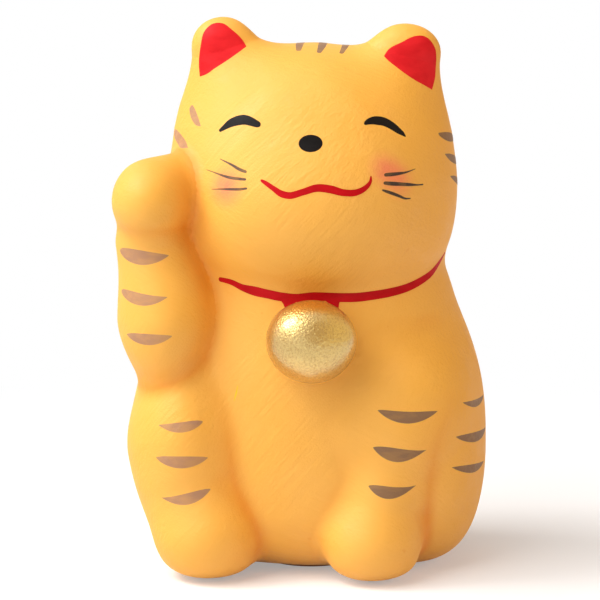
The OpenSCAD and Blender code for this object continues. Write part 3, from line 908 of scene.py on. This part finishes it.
CROWN_STRIPES = (
    [(-1.3, -3.3, 0.3), (-1.3, -2.0, 0.42), (-1.2, 2.0, 0.5), (-1.0, 5.5, 0.25)],
    [(1.05, -3.8, 0.26), (1.25, -2.4, 0.42), (1.4, 2.0, 0.5), (1.5, 7.0, 0.25)],
    [(3.6, -3.5, 0.25), (3.9, -2.0, 0.38), (4.0, 2.0, 0.45), (3.9, 5.5, 0.25)],
)
CHEEK_STRIPES = (
    [(-162.6, 54.1, 0.3), (-158.5, 53.45, 0.44), (-154.9, 52.9, 0.42), (-151.6, 52.45, 0.3),
     (-148.9, 52.2, 0.05)],
    [(-172.0, 50.9, 0.35), (-166.0, 50.6, 0.58), (-160.0, 50.2, 0.56), (-155.3, 49.9, 0.4),
     (-151.3, 49.7, 0.05)],
    [(-19.2, 51.2, 0.15), (-16.5, 50.95, 0.36), (-12.8, 50.7, 0.52), (-5.0, 50.3, 0.5), (4.0, 49.8, 0.12)],
    [(-17.2, 48.8, 0.08), (-13.1, 48.35, 0.4), (-9.1, 48.0, 0.5), (0.0, 47.4, 0.45), (8.0, 46.8, 0.1)],
    [(-14.8, 46.15, 0.08), (-10.8, 45.8, 0.3), (-6.0, 45.4, 0.42), (2.0, 44.8, 0.4), (9.0, 44.2, 0.1)],
)
FLECK = [(-8.2, 21.2, 0.05), (-7.95, 22.1, 0.11), (-7.75, 23.1, 0.05)]


# ---------------------------------------------------------------- shader nodes


def connect(tree, made, sockets):
    """Give each named socket of a node a value or a link. Returns the node."""
    for key, value in sockets.items():
        if isinstance(value, bpy.types.NodeSocket):
            tree.links.new(value, made.inputs[key])
        else:
            made.inputs[key].default_value = value
    return made


def node(tree, kind, sockets=(), **settings):
    """Add a node, set its settings, and connect its sockets."""
    made = tree.nodes.new(kind)
    for key, value in settings.items():
        setattr(made, key, value)
    return connect(tree, made, dict(sockets))


def calc(tree, operation, *values):
    """The result of a Math node."""
    return node(tree, "ShaderNodeMath", enumerate(values), operation=operation).outputs[0]


def weighted(tree, *pairs):
    """The sum of values, each times its weight."""
    total, *others = [calc(tree, "MULTIPLY", value, weight) for value, weight in pairs]
    for other in others:
        total = calc(tree, "ADD", total, other)
    return total


def span(tree, value, low, high, start=0.0, end=1.0):
    """A value eased from low..high to start..end."""
    sockets = {"Value": value, "From Min": low, "From Max": high, "To Min": start, "To Max": end}
    return node(tree, "ShaderNodeMapRange", sockets, interpolation_type="SMOOTHSTEP").outputs["Result"]


def mixed(tree, share, first, second):
    """A colour between two colours."""
    return node(tree, "ShaderNodeMix", {0: share, 6: first, 7: second}, data_type="RGBA").outputs[2]


def mixed_light(tree, share, first, second):
    """A shader between two shaders."""
    return node(tree, "ShaderNodeMixShader", {0: share, 1: first.outputs[0], 2: second.outputs[0]})


def rgba(colour):
    """A colour with full alpha."""
    return (*colour, 1.0)


def scaled(colour, *factors):
    """A colour with each part multiplied."""
    return tuple(part * factor for part, factor in zip(colour, factors))


def placed(tree, place, turn=(0, 0, 0), scale=(1, 1, 1)):
    """A place vector turned and scaled by a Mapping node."""
    sockets = {"Vector": place, "Rotation": turn, "Scale": scale}
    return node(tree, "ShaderNodeMapping", sockets).outputs["Vector"]


def noise(tree, place, scale, detail=2.0, roughness=0.5):
    """A noise value, with about scale cells to the metre."""
    sockets = {"Vector": place, "Scale": scale, "Detail": detail, "Roughness": roughness}
    return node(tree, "ShaderNodeTexNoise", sockets, noise_dimensions="3D").outputs["Fac"]


def parts_of(tree, vector):
    """The three parts of a vector."""
    return node(tree, "ShaderNodeSeparateXYZ", {0: vector}).outputs


def effect(tree, name, inputs, outputs, fill, sockets):
    """Place the node group of that name and connect its inputs. Returns its outputs. The group is made
    the first time, with its named sockets, and fill gives what each output shows."""
    if name not in bpy.data.node_groups:
        group = bpy.data.node_groups.new(name, "ShaderNodeTree")
        for way, kinds in (("INPUT", inputs), ("OUTPUT", outputs)):
            for label, kind in kinds.items():
                group.interface.new_socket(name=label, in_out=way, socket_type="NodeSocket" + kind)
        given = node(group, "NodeGroupInput").outputs
        node(group, "NodeGroupOutput", fill(group, given))
    return node(tree, "ShaderNodeGroup", sockets, node_tree=bpy.data.node_groups[name]).outputs


# ---------------------------------------------------------------- finishes

STREAK_STRETCH = 0.09
BRISTLE_TURNS = (math.radians(48), math.radians(-22))
# What the paint's colours are multiplied by: a wash at its palest, painted lighter on the lit -X side; the
# coat on the bell's top, as the chin's painted reflection in painted shade; the ground under the gold; and
# the clay at its palest.
LIT_SIDE_WASH = (1.45, 1.4, 2.0)
CHIN_REFLECTION_SHADE = (0.8, 0.7, 0.4)
GOLD_GROUND = (0.6, 0.46, 0.32)
PALE_CLAY = (1.35, 1.5, 1.6)
# Painted light and shade: where along x, in metres, how much of a wash lies and its colour begin and cease to
# change, so that it is thinner and paler on the lit -X side and thicker on the shaded +X side.
LIT_SIDE_THINNING, LIT_SIDE_PALING = (-0.018, 0.01), (-0.018, 0.006)
# How far under the bell's top the painted reflection of the orange chin begins and is full.
CHIN_REFLECTION_DEPTHS = (1.5, 0.3)
# Each blush's middle and radius in millimetres, and its strength.
BLUSHES = (((-9.1, -13.4, 46.15), 3.4, 0.8), ((9.3, -13.0, 48.2), 3.0, 0.75), ((10.6, -12.3, 47.0), 3.1, 0.7))


def bristles(tree, given):
    """Fine parallel ridges of a flat brush, in strokes that change direction from patch to patch."""
    patch = span(tree, noise(tree, given["Place"], 55.0, 0.0), 0.42, 0.58)
    other = calc(tree, "SUBTRACT", 1.0, patch)
    ways = [placed(tree, given["Place"], (0.0, turn, 0.0)) for turn in BRISTLE_TURNS]
    first, second = (placed(tree, way, scale=(STREAK_STRETCH, 1.0, 1.0)) for way in ways)
    shown = {}
    for label, scale, roughness in (("Ridges", 2300.0, 0.55), ("Streaks", 520.0, 0.5)):
        pair = (noise(tree, way, scale, 2.0, roughness) for way in (first, second))
        shown[label] = weighted(tree, *zip(pair, (other, patch)))
    return shown


def brushed_coat(tree, given):
    """The orange coat: thin and thick strokes, darkened in the creases as painted shade, with a bristled and
    finely grained relief."""
    place = given["Place"]
    outputs = {"Ridges": "Float", "Streaks": "Float"}
    marks = effect(tree, "Bristle marks", {"Place": "Vector"}, outputs, bristles, {"Place": place})
    cloud = noise(tree, place, 70.0, 3.0, 0.55)
    streaks = marks["Streaks"]
    thin = weighted(tree, (span(tree, cloud, 0.35, 0.7), 0.5), (span(tree, streaks, 0.4, 0.65), 0.22))
    # Painted shade: the crease attribute, in patches, mixes the coat towards its shade colour.
    crease_shade_patches = calc(tree, "ADD", 0.8, calc(tree, "MULTIPLY", cloud, 0.3))
    crease_shade = calc(tree, "MULTIPLY", given["Crease"], crease_shade_patches)
    specks = span(tree, noise(tree, place, 900.0, 1.0), 0.77, 0.82, 0.0, 0.3)
    colour = mixed(tree, thin, given["Coat"], given["Thin"])
    for share in (calc(tree, "MINIMUM", crease_shade, 1.0), specks):
        colour = mixed(tree, share, colour, given["Deep"])
    grain = noise(tree, place, 5200.0, 2.0, 0.6)
    relief = weighted(tree, (marks["Ridges"], 0.7), (grain, 0.3), (streaks, 0.8))
    return {"Color": colour, "Roughness": span(tree, streaks, 0.3, 0.7, 0.56, 0.68), "Relief": relief}


def coat(tree, place, paint):
    """Place the orange coat's group with the paint's colours. Returns its outputs."""
    inputs = {"Place": "Vector", "Crease": "Float", "Coat": "Color", "Deep": "Color", "Thin": "Color"}
    outputs = {"Color": "Color", "Roughness": "Float", "Relief": "Float"}
    crease = node(tree, "ShaderNodeAttribute", attribute_name="crease").outputs["Fac"]
    sockets = {"Place": place, "Crease": crease, "Coat": rgba(paint.coat), "Deep": rgba(paint.coat_shade_and_specks)}
    sockets["Thin"] = rgba(paint.coat_light)
    return effect(tree, "Orange coat", inputs, outputs, brushed_coat, sockets)


def dress(tree, shader, sockets, relief, depth):
    """Connect a shader's sockets, and a relief of a depth in millimetres to its normal through a Bump
    node."""
    bump = node(tree, "ShaderNodeBump", {"Height": relief, "Distance": depth * MM, "Strength": 1.0})
    connect(tree, shader, {**sockets, "Normal": bump.outputs[0]})


def blushed_coat(tree, place, shader, paint):
    """The coat on the clay, with the blush powdered over the cheeks."""
    ground = coat(tree, place, paint)
    colour = ground["Color"]
    powder = span(tree, noise(tree, place, 1500.0, 3.0, 0.7), 0.2, 0.7, 0.8, 1.1)
    for middle, radius, strength in BLUSHES:
        ends = {0: place, 1: scaled(middle, MM, MM, MM)}
        away = node(tree, "ShaderNodeVectorMath", ends, operation="DISTANCE").outputs["Value"]
        mask = calc(tree, "MULTIPLY", span(tree, away, 0.0, radius * MM, strength, 0.0), powder)
        colour = mixed(tree, mask, colour, rgba(paint.blush))
    sockets = {"Base Color": colour, "Roughness": ground["Roughness"], "Specular IOR Level": 0.85}
    dress(tree, shader, sockets, ground["Relief"], 0.12)


def wash(tree, place, shader, paint, key, thin, thick):
    """A thin wash brushed over the coat, so the coat glows through between the bristles. Its cover goes from
    thin to thick, and as painted light and shade it is thinner and paler towards the lit -X side and thicker
    towards +X."""
    ground = coat(tree, place, paint)
    colour = getattr(paint, key)
    streaks = noise(tree, placed(tree, place, scale=(0.2, 1.0, 1.0)), 1500.0, 3.0, 0.6)
    share = weighted(tree, (streaks, 0.5), (noise(tree, place, 420.0, 1.0), 0.5))
    side = parts_of(tree, place)["X"]
    # Painted light and shade: the wash is thinner and paler on the -X side, where the lamps fall, and thicker
    # towards +X.
    load = span(tree, side, *LIT_SIDE_THINNING, -0.11, 0.1)
    film = mixed(tree, span(tree, side, *LIT_SIDE_PALING), rgba(scaled(colour, *LIT_SIDE_WASH)), rgba(colour))
    cover = calc(tree, "MINIMUM", calc(tree, "ADD", span(tree, share, 0.35, 0.62, thin, thick), load), 1.0)
    shown = mixed(tree, cover, ground["Color"], film)
    sockets = {"Base Color": shown, "Roughness": span(tree, streaks, 0.2, 0.8, 0.5, 0.68)}
    dress(tree, shader, {**sockets, "Specular IOR Level": 0.4}, ground["Relief"], 0.09)


def brushed_paint(tree, place, shader, paint, key, shade, roughness):
    """Opaque brushed paint: a colour with drifts of a darker shade, faint streaks and a soft relief."""
    colour = getattr(paint, key)
    streaks = noise(tree, placed(tree, place, scale=(0.3, 1.0, 1.0)), 900.0, 3.0, 0.55)
    drift = span(tree, noise(tree, place, 160.0, 2.0), 0.4, 0.7, 0.0, 0.4)
    share = calc(tree, "ADD", span(tree, streaks, 0.35, 0.75, 0.0, 0.5), drift)
    sockets = {
        "Base Color": mixed(tree, share, rgba(colour), rgba(scaled(colour, *shade))),
        "Roughness": span(tree, streaks, 0.2, 0.8, roughness - 0.07, roughness + 0.07),
        "Specular IOR Level": 0.12,
    }
    dress(tree, shader, sockets, calc(tree, "ADD", streaks, noise(tree, place, 4200.0, 2.0)), 0.02)


def flaked_gold(tree, place, shader, paint):
    """Gold paint full of metal flakes, over a grainy ground that shows darker between them. The bell's top is
    painted in the coat's orange, darkened: a painted reflection of the chin above it, in painted shade."""
    grains = node(tree, "ShaderNodeTexVoronoi", {"Vector": place, "Scale": 3700.0}, feature="F1")
    fine = noise(tree, place, 3900.0, 3.0, 0.7)
    cloud = noise(tree, place, 240.0, 2.0)
    share = calc(tree, "ADD", span(tree, fine, 0.42, 0.66, 0.0, 0.55), span(tree, cloud, 0.4, 0.7, 0.0, 0.2))
    colour = mixed(tree, share, rgba(paint.gold), rgba(scaled(paint.gold, *GOLD_GROUND)))
    level = calc(tree, "ADD", parts_of(tree, place)["Z"], calc(tree, "MULTIPLY", cloud, 0.4 * MM))
    # Painted reflection: the bell's top takes the chin's orange, darkened as painted shade.
    chin_reflection = span(tree, level, *((BELL_HIGH[2] - depth) * MM for depth in CHIN_REFLECTION_DEPTHS), 0.0, 0.85)
    sockets = {
        "Base Color": mixed(tree, chin_reflection, colour, rgba(scaled(paint.coat, *CHIN_REFLECTION_SHADE))),
        "Roughness": span(tree, fine, 0.3, 0.7, 0.26, 0.42),
        "Metallic": span(tree, cloud, 0.35, 0.75, 0.9, 0.78),
        "Coat Weight": 1.0,
        "Coat Roughness": 0.2,
    }
    dress(tree, shader, sockets, calc(tree, "ADD", grains.outputs["Distance"], fine), 0.05)


def bare_clay(tree, place, shader, paint):
    """Bare fired clay: fine grains, paler and darker drifts, rough."""
    grain = noise(tree, place, 3000.0, 4.0, 0.7)
    drift = span(tree, noise(tree, place, 220.0, 3.0, 0.6), 0.35, 0.7, 0.0, 0.4)
    share = calc(tree, "ADD", span(tree, grain, 0.35, 0.7, 0.0, 0.5), drift)
    colour = mixed(tree, share, rgba(paint.clay), rgba(scaled(paint.clay, *PALE_CLAY)))
    sockets = {"Base Color": colour, "Roughness": span(tree, grain, 0.2, 0.8, 0.8, 0.95)}
    dress(tree, shader, sockets, grain, 0.06)


# What makes each finish, with its colour among the paint's, and its cover or its darker shade and roughness.
FINISHES = {
    "Orange coat": (blushed_coat,),
    "Gold paint": (flaked_gold,),
    "Bare clay": (bare_clay,),
    "Black paint": (brushed_paint, "black", (1.8, 1.7, 1.7), 0.5),
    "Red paint": (brushed_paint, "red", (0.7, 0.5, 0.5), 0.5),
    "Ear lining paint": (brushed_paint, "lining", (0.78, 0.4, 0.5), 0.52),
    "Yellow fleck": (brushed_paint, "fleck", (0.94, 0.81, 1.0), 0.5),
    "Whisker wash": (wash, "whisker", 0.82, 1.0),
    "Brown stripes": (wash, "stripe", 0.8, 0.97),
}


def finish(name, paint):
    """The material of that name. Its entry in FINISHES builds it the first time."""
    if name in bpy.data.materials:
        return bpy.data.materials[name]
    build, *values = FINISHES[name]
    material = bpy.data.materials.new(name)
    material.use_nodes = True
    tree = material.node_tree
    tree.nodes.clear()
    shader = node(tree, "ShaderNodeBsdfPrincipled")
    node(tree, "ShaderNodeOutputMaterial", {"Surface": shader.outputs[0]})
    build(tree, node(tree, "ShaderNodeTexCoord").outputs["Object"], shader, paint, *values)
    return material


# ---------------------------------------------------------------- steps

# The solid that each half replaces, the turn where it starts, and how many turns its rays have.
HALVES = {"front_half": ("front_shell", -180.0, 221), "back_half": ("back_shell", 0.0, 151)}
# Columns, and the rows of a limb's skin that are low, in the middle and high.
FORELEG_GRID = (132, 34, 60, 34)
TAIL_GRID = (90, 26, 20, 24)
BELL_GRID = (120, 28, 2, 28)
# How deep a limb's skin ends inside the body.
LIMB_SUNK = 1.2
# How the bell's ball is pressed out of round, the height of its lumps, and how far it sags.
BELL_PRESSED = np.array([1.035, 0.99, 0.94])
BELL_LUMPS = 0.03
BELL_SAG = 0.1


def parts(context):
    """The form and the paint of the scene's settings."""
    return Form(context.scene.cat_form), context.scene.cat_paint


def luted_limb(form, field, start, end, grid):
    """A limb's closed skin, which turns down under the body's and ends at a depth inside it."""

    def outside(p):
        body = form.body(p)
        return np.maximum(shared(field(p), body), -body - LIMB_SUNK)

    return limb_skin(outside, start, end, *grid)


def paint_on(name, form, material, films):
    """One piece of paint films, each a chart, two edges, a thickness and, at choice, how many points lie
    across."""
    skin = Skin()
    for film in films:
        lay_film(skin, form, *film)
    skin.piece(name, form, material, "painted_clay")


class CAT_OT_shells(bpy.types.Operator):
    """Build the two hollow moulded halves that meet at the seam"""

    bl_idname = "cat.shells"
    bl_label = "Moulded halves"

    def execute(self, context):
        form, paint = parts(context)
        for name, (solid, first, count) in HALVES.items():
            skin = half_shell(form, np.linspace(first, first + 180.0, count))
            coated = finish("Orange coat", paint)
            skin.piece(name, form, coated, "painted_clay", [solid], luted=True, body=True)
        return {"FINISHED"}


class CAT_OT_limbs(bpy.types.Operator):
    """Build the raised foreleg and the bobtail, luted to the halves"""

    bl_idname = "cat.limbs"
    bl_label = "Raised foreleg and tail"

    def execute(self, context):
        form, paint = parts(context)
        coated = finish("Orange coat", paint)
        skin = luted_limb(form, form.raised_foreleg, form.elbow_c, form.paw_c, FORELEG_GRID)
        skin.piece("beckoning_foreleg", form, coated, "painted_clay", ["raised_foreleg"], luted=True)
        skin = luted_limb(form, form.tail, form.tail_root, form.tail_tip, TAIL_GRID)
        skin.piece("bobtail", form, coated, "painted_clay", ["tail"], luted=True)
        return {"FINISHED"}


class CAT_OT_bell(bpy.types.Operator):
    """Build the gold bell, a hand-rolled ball, and give the base disc its bare clay"""

    bl_idname = "cat.bell"
    bl_label = "Bell and base disc"

    def execute(self, context):
        form, paint = parts(context)
        radius = (BELL_HIGH[0] - BELL_LOW[0]) / 2
        centre = (BELL_LOW + BELL_HIGH) / 2
        centre[1] = BELL_LOW[1] + radius
        centre[2] -= BELL_SAG

        def ball(p):
            x, y, z = np.moveaxis(p - centre, -1, 0)
            lumps = np.sin(0.9 * x + 0.7 * z) + np.sin(0.8 * z - 0.9 * y + 2.0)
            return ellipsoid(p, centre, radius * BELL_PRESSED) + BELL_LUMPS * lumps

        half = point(0, 0, 0.5)
        skin = limb_skin(ball, centre - half, centre + half, *BELL_GRID)
        skin.piece("gold_bell", form, finish("Gold paint", paint), "gold_paint", ["bell"])
        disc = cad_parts["base_disc"]
        disc.data.materials.clear()
        disc.data.materials.append(finish("Bare clay", paint))
        return {"FINISHED"}


class CAT_OT_face(bpy.types.Operator):
    """Paint the eyes, nose, whiskers, mouth and ear linings"""

    bl_idname = "cat.face"
    bl_label = "Face"

    def execute(self, context):
        form, paint = parts(context)
        black = finish("Black paint", paint)
        for name, eye in (("left_eye", LEFT_EYE), ("right_eye", RIGHT_EYE)):
            paint_on(name, form, black, [(front_chart, *stroke(eye), FACE_FILM)])
        paint_on("nose", form, black, [(front_chart, *oval(*NOSE), FACE_FILM, 17)])
        whiskers = [(front_chart, *stroke(whisker), FACE_FILM) for whisker in WHISKERS]
        paint_on("whiskers", form, finish("Whisker wash", paint), whiskers)
        paint_on("mouth", form, finish("Red paint", paint), [(front_chart, *stroke(MOUTH, 150), COLLAR_FILM)])
        for name, edges in (("left_ear_lining", LEFT_LINING), ("right_ear_lining", RIGHT_LINING)):
            lining = finish("Ear lining paint", paint)
            paint_on(name, form, lining, [(front_chart, *between(*edges), FACE_FILM, BROAD)])
        return {"FINISHED"}


class CAT_OT_collar(bpy.types.Operator):
    """Paint the red collar line over the bell, with a foot on each side of it"""

    bl_idname = "cat.collar"
    bl_label = "Collar"

    def execute(self, context):
        form, paint = parts(context)
        films = [(round_chart, *stroke(turned(COLLAR), 260), COLLAR_FILM)]
        films += [(front_chart, *between(*foot), 0.9 * COLLAR_FILM, BROAD) for foot in COLLAR_FEET]
        paint_on("collar", form, finish("Red paint", paint), films)
        return {"FINISHED"}


class CAT_OT_stripes(bpy.types.Operator):
    """Brush the brown stripes on the crown, cheeks, legs and haunch, and the yellow fleck"""

    bl_idname = "cat.stripes"
    bl_label = "Stripes"

    def execute(self, context):
        form, paint = parts(context)
        marks = {
            "leg_stripes": [(front_chart, *leaf(*stripe)) for stripe in FRONT_STRIPES],
            "haunch_stripes": [
                (round_chart, *leaf(*turned([left, right]), *shape)) for left, right, *shape in HAUNCH_STRIPES
            ],
            "crown_stripes": [(top_chart, *stroke(stripe)) for stripe in CROWN_STRIPES],
            "cheek_stripes": [(round_chart, *stroke(turned(stripe))) for stripe in CHEEK_STRIPES],
        }
        for name, stripes in marks.items():
            films = [(*stripe, STRIPE_FILM) for stripe in stripes]
            paint_on(name, form, finish("Brown stripes", paint), films)
        fleck = [(front_chart, *stroke(FLECK, 24), STRIPE_FILM)]
        paint_on("yellow_fleck", form, finish("Yellow fleck", paint), fleck)
        return {"FINISHED"}


# ---------------------------------------------------------------- stage, in metres

WHITE = (1.0, 1.0, 1.0)
WARM = (1.0, 0.64, 0.38)
WARM_WHITE = (1.0, 0.87, 0.74)
# Name, place, size, power among the stage's settings, colour, and whether mirrored rays see it.
LIGHTS = (
    ("Key light", (-0.57, -0.48, 0.54), 0.90, "key_power", WHITE, False),
    ("Window light", (-0.60, -0.06, 0.74), 0.40, "window_power", WHITE, True),
    ("Top light", (-0.20, -0.30, 0.80), 0.70, "top_power", WHITE, False),
    ("Fill light", (0.68, -0.12, 0.28), 0.40, "fill_power", WARM, False),
)
LIT_POINT = Vector((0, 0, 0.03))
FLOOR_RADIUS = 3.0
FLOOR_SIDES = 96
FLOOR_GREYS = (0.72, 0.75)
FLOOR_LIFT = 0.32
FLOOR_FADE = (0.035, 0.11)
# What mirrored rays show of the room: a lit wall to the +X side, and the dark doorway behind the camera.
ROOM_SIDE = (0.95, 0.76, 0.40)
ROOM_DARK = (0.42, 0.24, 0.13)
DOORWAY_MIDDLE = 0.2


def seen(tree):
    """1 for rays that show the surroundings: straight, mirrored or through glass."""
    path = node(tree, "ShaderNodeLightPath").outputs
    shown = calc(tree, "MAXIMUM", path["Is Camera Ray"], path["Is Glossy Ray"])
    return calc(tree, "MAXIMUM", shown, path["Is Transmission Ray"])


class CAT_OT_stage(bpy.types.Operator):
    """Set up the pale floor, the soft lights, the white surroundings and the camera"""

    bl_idname = "cat.stage"
    bl_label = "Floor, lights and camera"

    def execute(self, context):
        stage, scene = context.scene.cat_stage, context.scene
        self.floor(scene)
        self.surroundings(scene, stage)
        self.camera(scene, stage)
        for name, place, size, power, colour, glossy in LIGHTS:
            self.light(scene, name, Vector(place), size, getattr(stage, power), colour, glossy)
        scene.view_settings.view_transform = "Standard"
        return {"FINISHED"}

    def floor(self, scene):
        """A pale round floor that fades to plain white away from the figurine."""
        turns = np.linspace(0, 2 * np.pi, FLOOR_SIDES + 1)[:-1]
        mesh = bpy.data.meshes.new("floor")
        points = np.stack([FLOOR_RADIUS * np.cos(turns), FLOOR_RADIUS * np.sin(turns), 0 * turns], -1)
        mesh.from_pydata(points.tolist(), [], [list(range(FLOOR_SIDES))])
        floor = bpy.data.objects.new("floor", mesh)
        scene.collection.objects.link(floor)
        material = bpy.data.materials.new("Pale floor")
        material.use_nodes = True
        tree = material.node_tree
        tree.nodes.clear()
        place = node(tree, "ShaderNodeTexCoord").outputs["Object"]
        away = node(tree, "ShaderNodeVectorMath", {0: place}, operation="LENGTH").outputs["Value"]
        camera_sees = seen(tree)
        dark, pale = (rgba([grey] * 3) for grey in FLOOR_GREYS)
        colour = mixed(tree, span(tree, noise(tree, place, 30.0), 0.3, 0.7), dark, pale)
        matte = node(tree, "ShaderNodeBsdfDiffuse", {"Color": colour})
        lift = node(tree, "ShaderNodeEmission", {"Strength": calc(tree, "MULTIPLY", camera_sees, FLOOR_LIFT)})
        lit = node(tree, "ShaderNodeAddShader", {0: matte.outputs[0], 1: lift.outputs[0]})
        white = node(tree, "ShaderNodeEmission", {"Strength": 1.0})
        share = calc(tree, "MULTIPLY", camera_sees, span(tree, away, *FLOOR_FADE))
        both = mixed_light(tree, share, lit, white)
        node(tree, "ShaderNodeOutputMaterial", {"Surface": both.outputs[0]})
        mesh.materials.append(material)

    def surroundings(self, scene, stage):
        """White where seen, softer as light. Mirrored rays see the room's lit wall and its dark doorway."""
        world = bpy.data.worlds.new("Studio")
        scene.world = world
        world.use_nodes = True
        tree = world.node_tree
        tree.nodes.clear()
        way = node(tree, "ShaderNodeTexCoord").outputs["Generated"]
        side, depth, level = parts_of(tree, way)
        mirrored = node(tree, "ShaderNodeLightPath").outputs["Is Glossy Ray"]
        wall = calc(tree, "MULTIPLY", span(tree, side, 0.1, 0.55), mirrored)
        aside = calc(tree, "ABSOLUTE", calc(tree, "SUBTRACT", side, DOORWAY_MIDDLE))
        doorway = calc(tree, "MULTIPLY", span(tree, aside, 0.05, 0.55, 1.0, 0.0), span(tree, level, 0.0, 0.4))
        doorway = calc(tree, "MULTIPLY", doorway, span(tree, depth, -0.4, 0.0, 1.0, 0.0))
        colour = mixed(tree, wall, rgba(WHITE), rgba(ROOM_SIDE))
        colour = mixed(tree, calc(tree, "MULTIPLY", doorway, mirrored), colour, rgba(ROOM_DARK))
        soft = node(tree, "ShaderNodeBackground", {"Color": rgba(WARM_WHITE), "Strength": stage.sky})
        white = node(tree, "ShaderNodeBackground", {"Color": colour, "Strength": 1.0})
        both = mixed_light(tree, seen(tree), soft, white)
        node(tree, "ShaderNodeOutputWorld", {"Surface": both.outputs[0]})

    def camera(self, scene, stage):
        """A long lens, a little to the side and above, whose aim lies off the axis by two small lengths."""
        turn, rise = stage.turn, stage.rise
        back = point(math.sin(turn) * math.cos(rise), -math.cos(turn) * math.cos(rise), math.sin(rise))
        right = point(math.cos(turn), math.sin(turn), 0)
        up = np.cross(back, right)
        place = right * stage.aim_side + up * stage.aim_up + back * stage.distance
        data = bpy.data.cameras.new("Camera")
        data.sensor_width = 36.0
        data.lens = data.sensor_width * stage.distance / stage.view_width
        data.clip_start, data.clip_end = 0.01, 20.0
        camera = bpy.data.objects.new("Camera", data)
        scene.collection.objects.link(camera)
        rows = np.concatenate([np.stack([right, up, back, place], -1), [[0, 0, 0, 1]]])
        camera.matrix_world = Matrix(rows.tolist())
        scene.camera = camera

    def light(self, scene, name, place, size, power, colour, glossy):
        """A square soft light that faces the figurine's middle."""
        data = bpy.data.lights.new(name, "AREA")
        data.size, data.energy, data.color = size, power, colour
        made = bpy.data.objects.new(name, data)
        scene.collection.objects.link(made)
        made.location = place
        made.rotation_euler = (LIT_POINT - place).to_track_quat("-Z", "Y").to_euler()
        made.visible_glossy = glossy


OPERATORS = (
    CAT_OT_shells, CAT_OT_limbs, CAT_OT_bell, CAT_OT_face, CAT_OT_collar, CAT_OT_stripes, CAT_OT_stage,
)


class CAT_PT_panel(bpy.types.Panel):
    """The cat's settings and the steps that build it"""

    bl_idname = "CAT_PT_panel"
    bl_label = "Beckoning cat"
    bl_space_type = "VIEW_3D"
    bl_region_type = "UI"
    bl_category = "Cat"

    def draw(self, context):
        for operator in OPERATORS:
            self.layout.operator(operator.bl_idname)
        for settings in (context.scene.cat_form, context.scene.cat_paint, context.scene.cat_stage):
            box = self.layout.box()
            for key in settings.__annotations__:
                box.prop(settings, key)


SETTINGS = (("cat_form", CatForm), ("cat_paint", CatPaint), ("cat_stage", CatStage))


def register():
    """Register the settings, the operators and the panel."""
    for name, kind in SETTINGS:
        bpy.utils.register_class(kind)
        setattr(bpy.types.Scene, name, bpy.props.PointerProperty(type=kind))
    for kind in (*OPERATORS, CAT_PT_panel):
        bpy.utils.register_class(kind)


def unregister():
    """Take everything back."""
    for kind in (CAT_PT_panel, *reversed(OPERATORS)):
        bpy.utils.unregister_class(kind)
    for name, kind in reversed(SETTINGS):
        delattr(bpy.types.Scene, name)
        bpy.utils.unregister_class(kind)


def main():
    """Register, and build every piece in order."""
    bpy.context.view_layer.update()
    register()
    for operator in OPERATORS:
        family, step = operator.bl_idname.split(".")
        getattr(getattr(bpy.ops, family), step)()


if __name__ == "__main__":
    main()
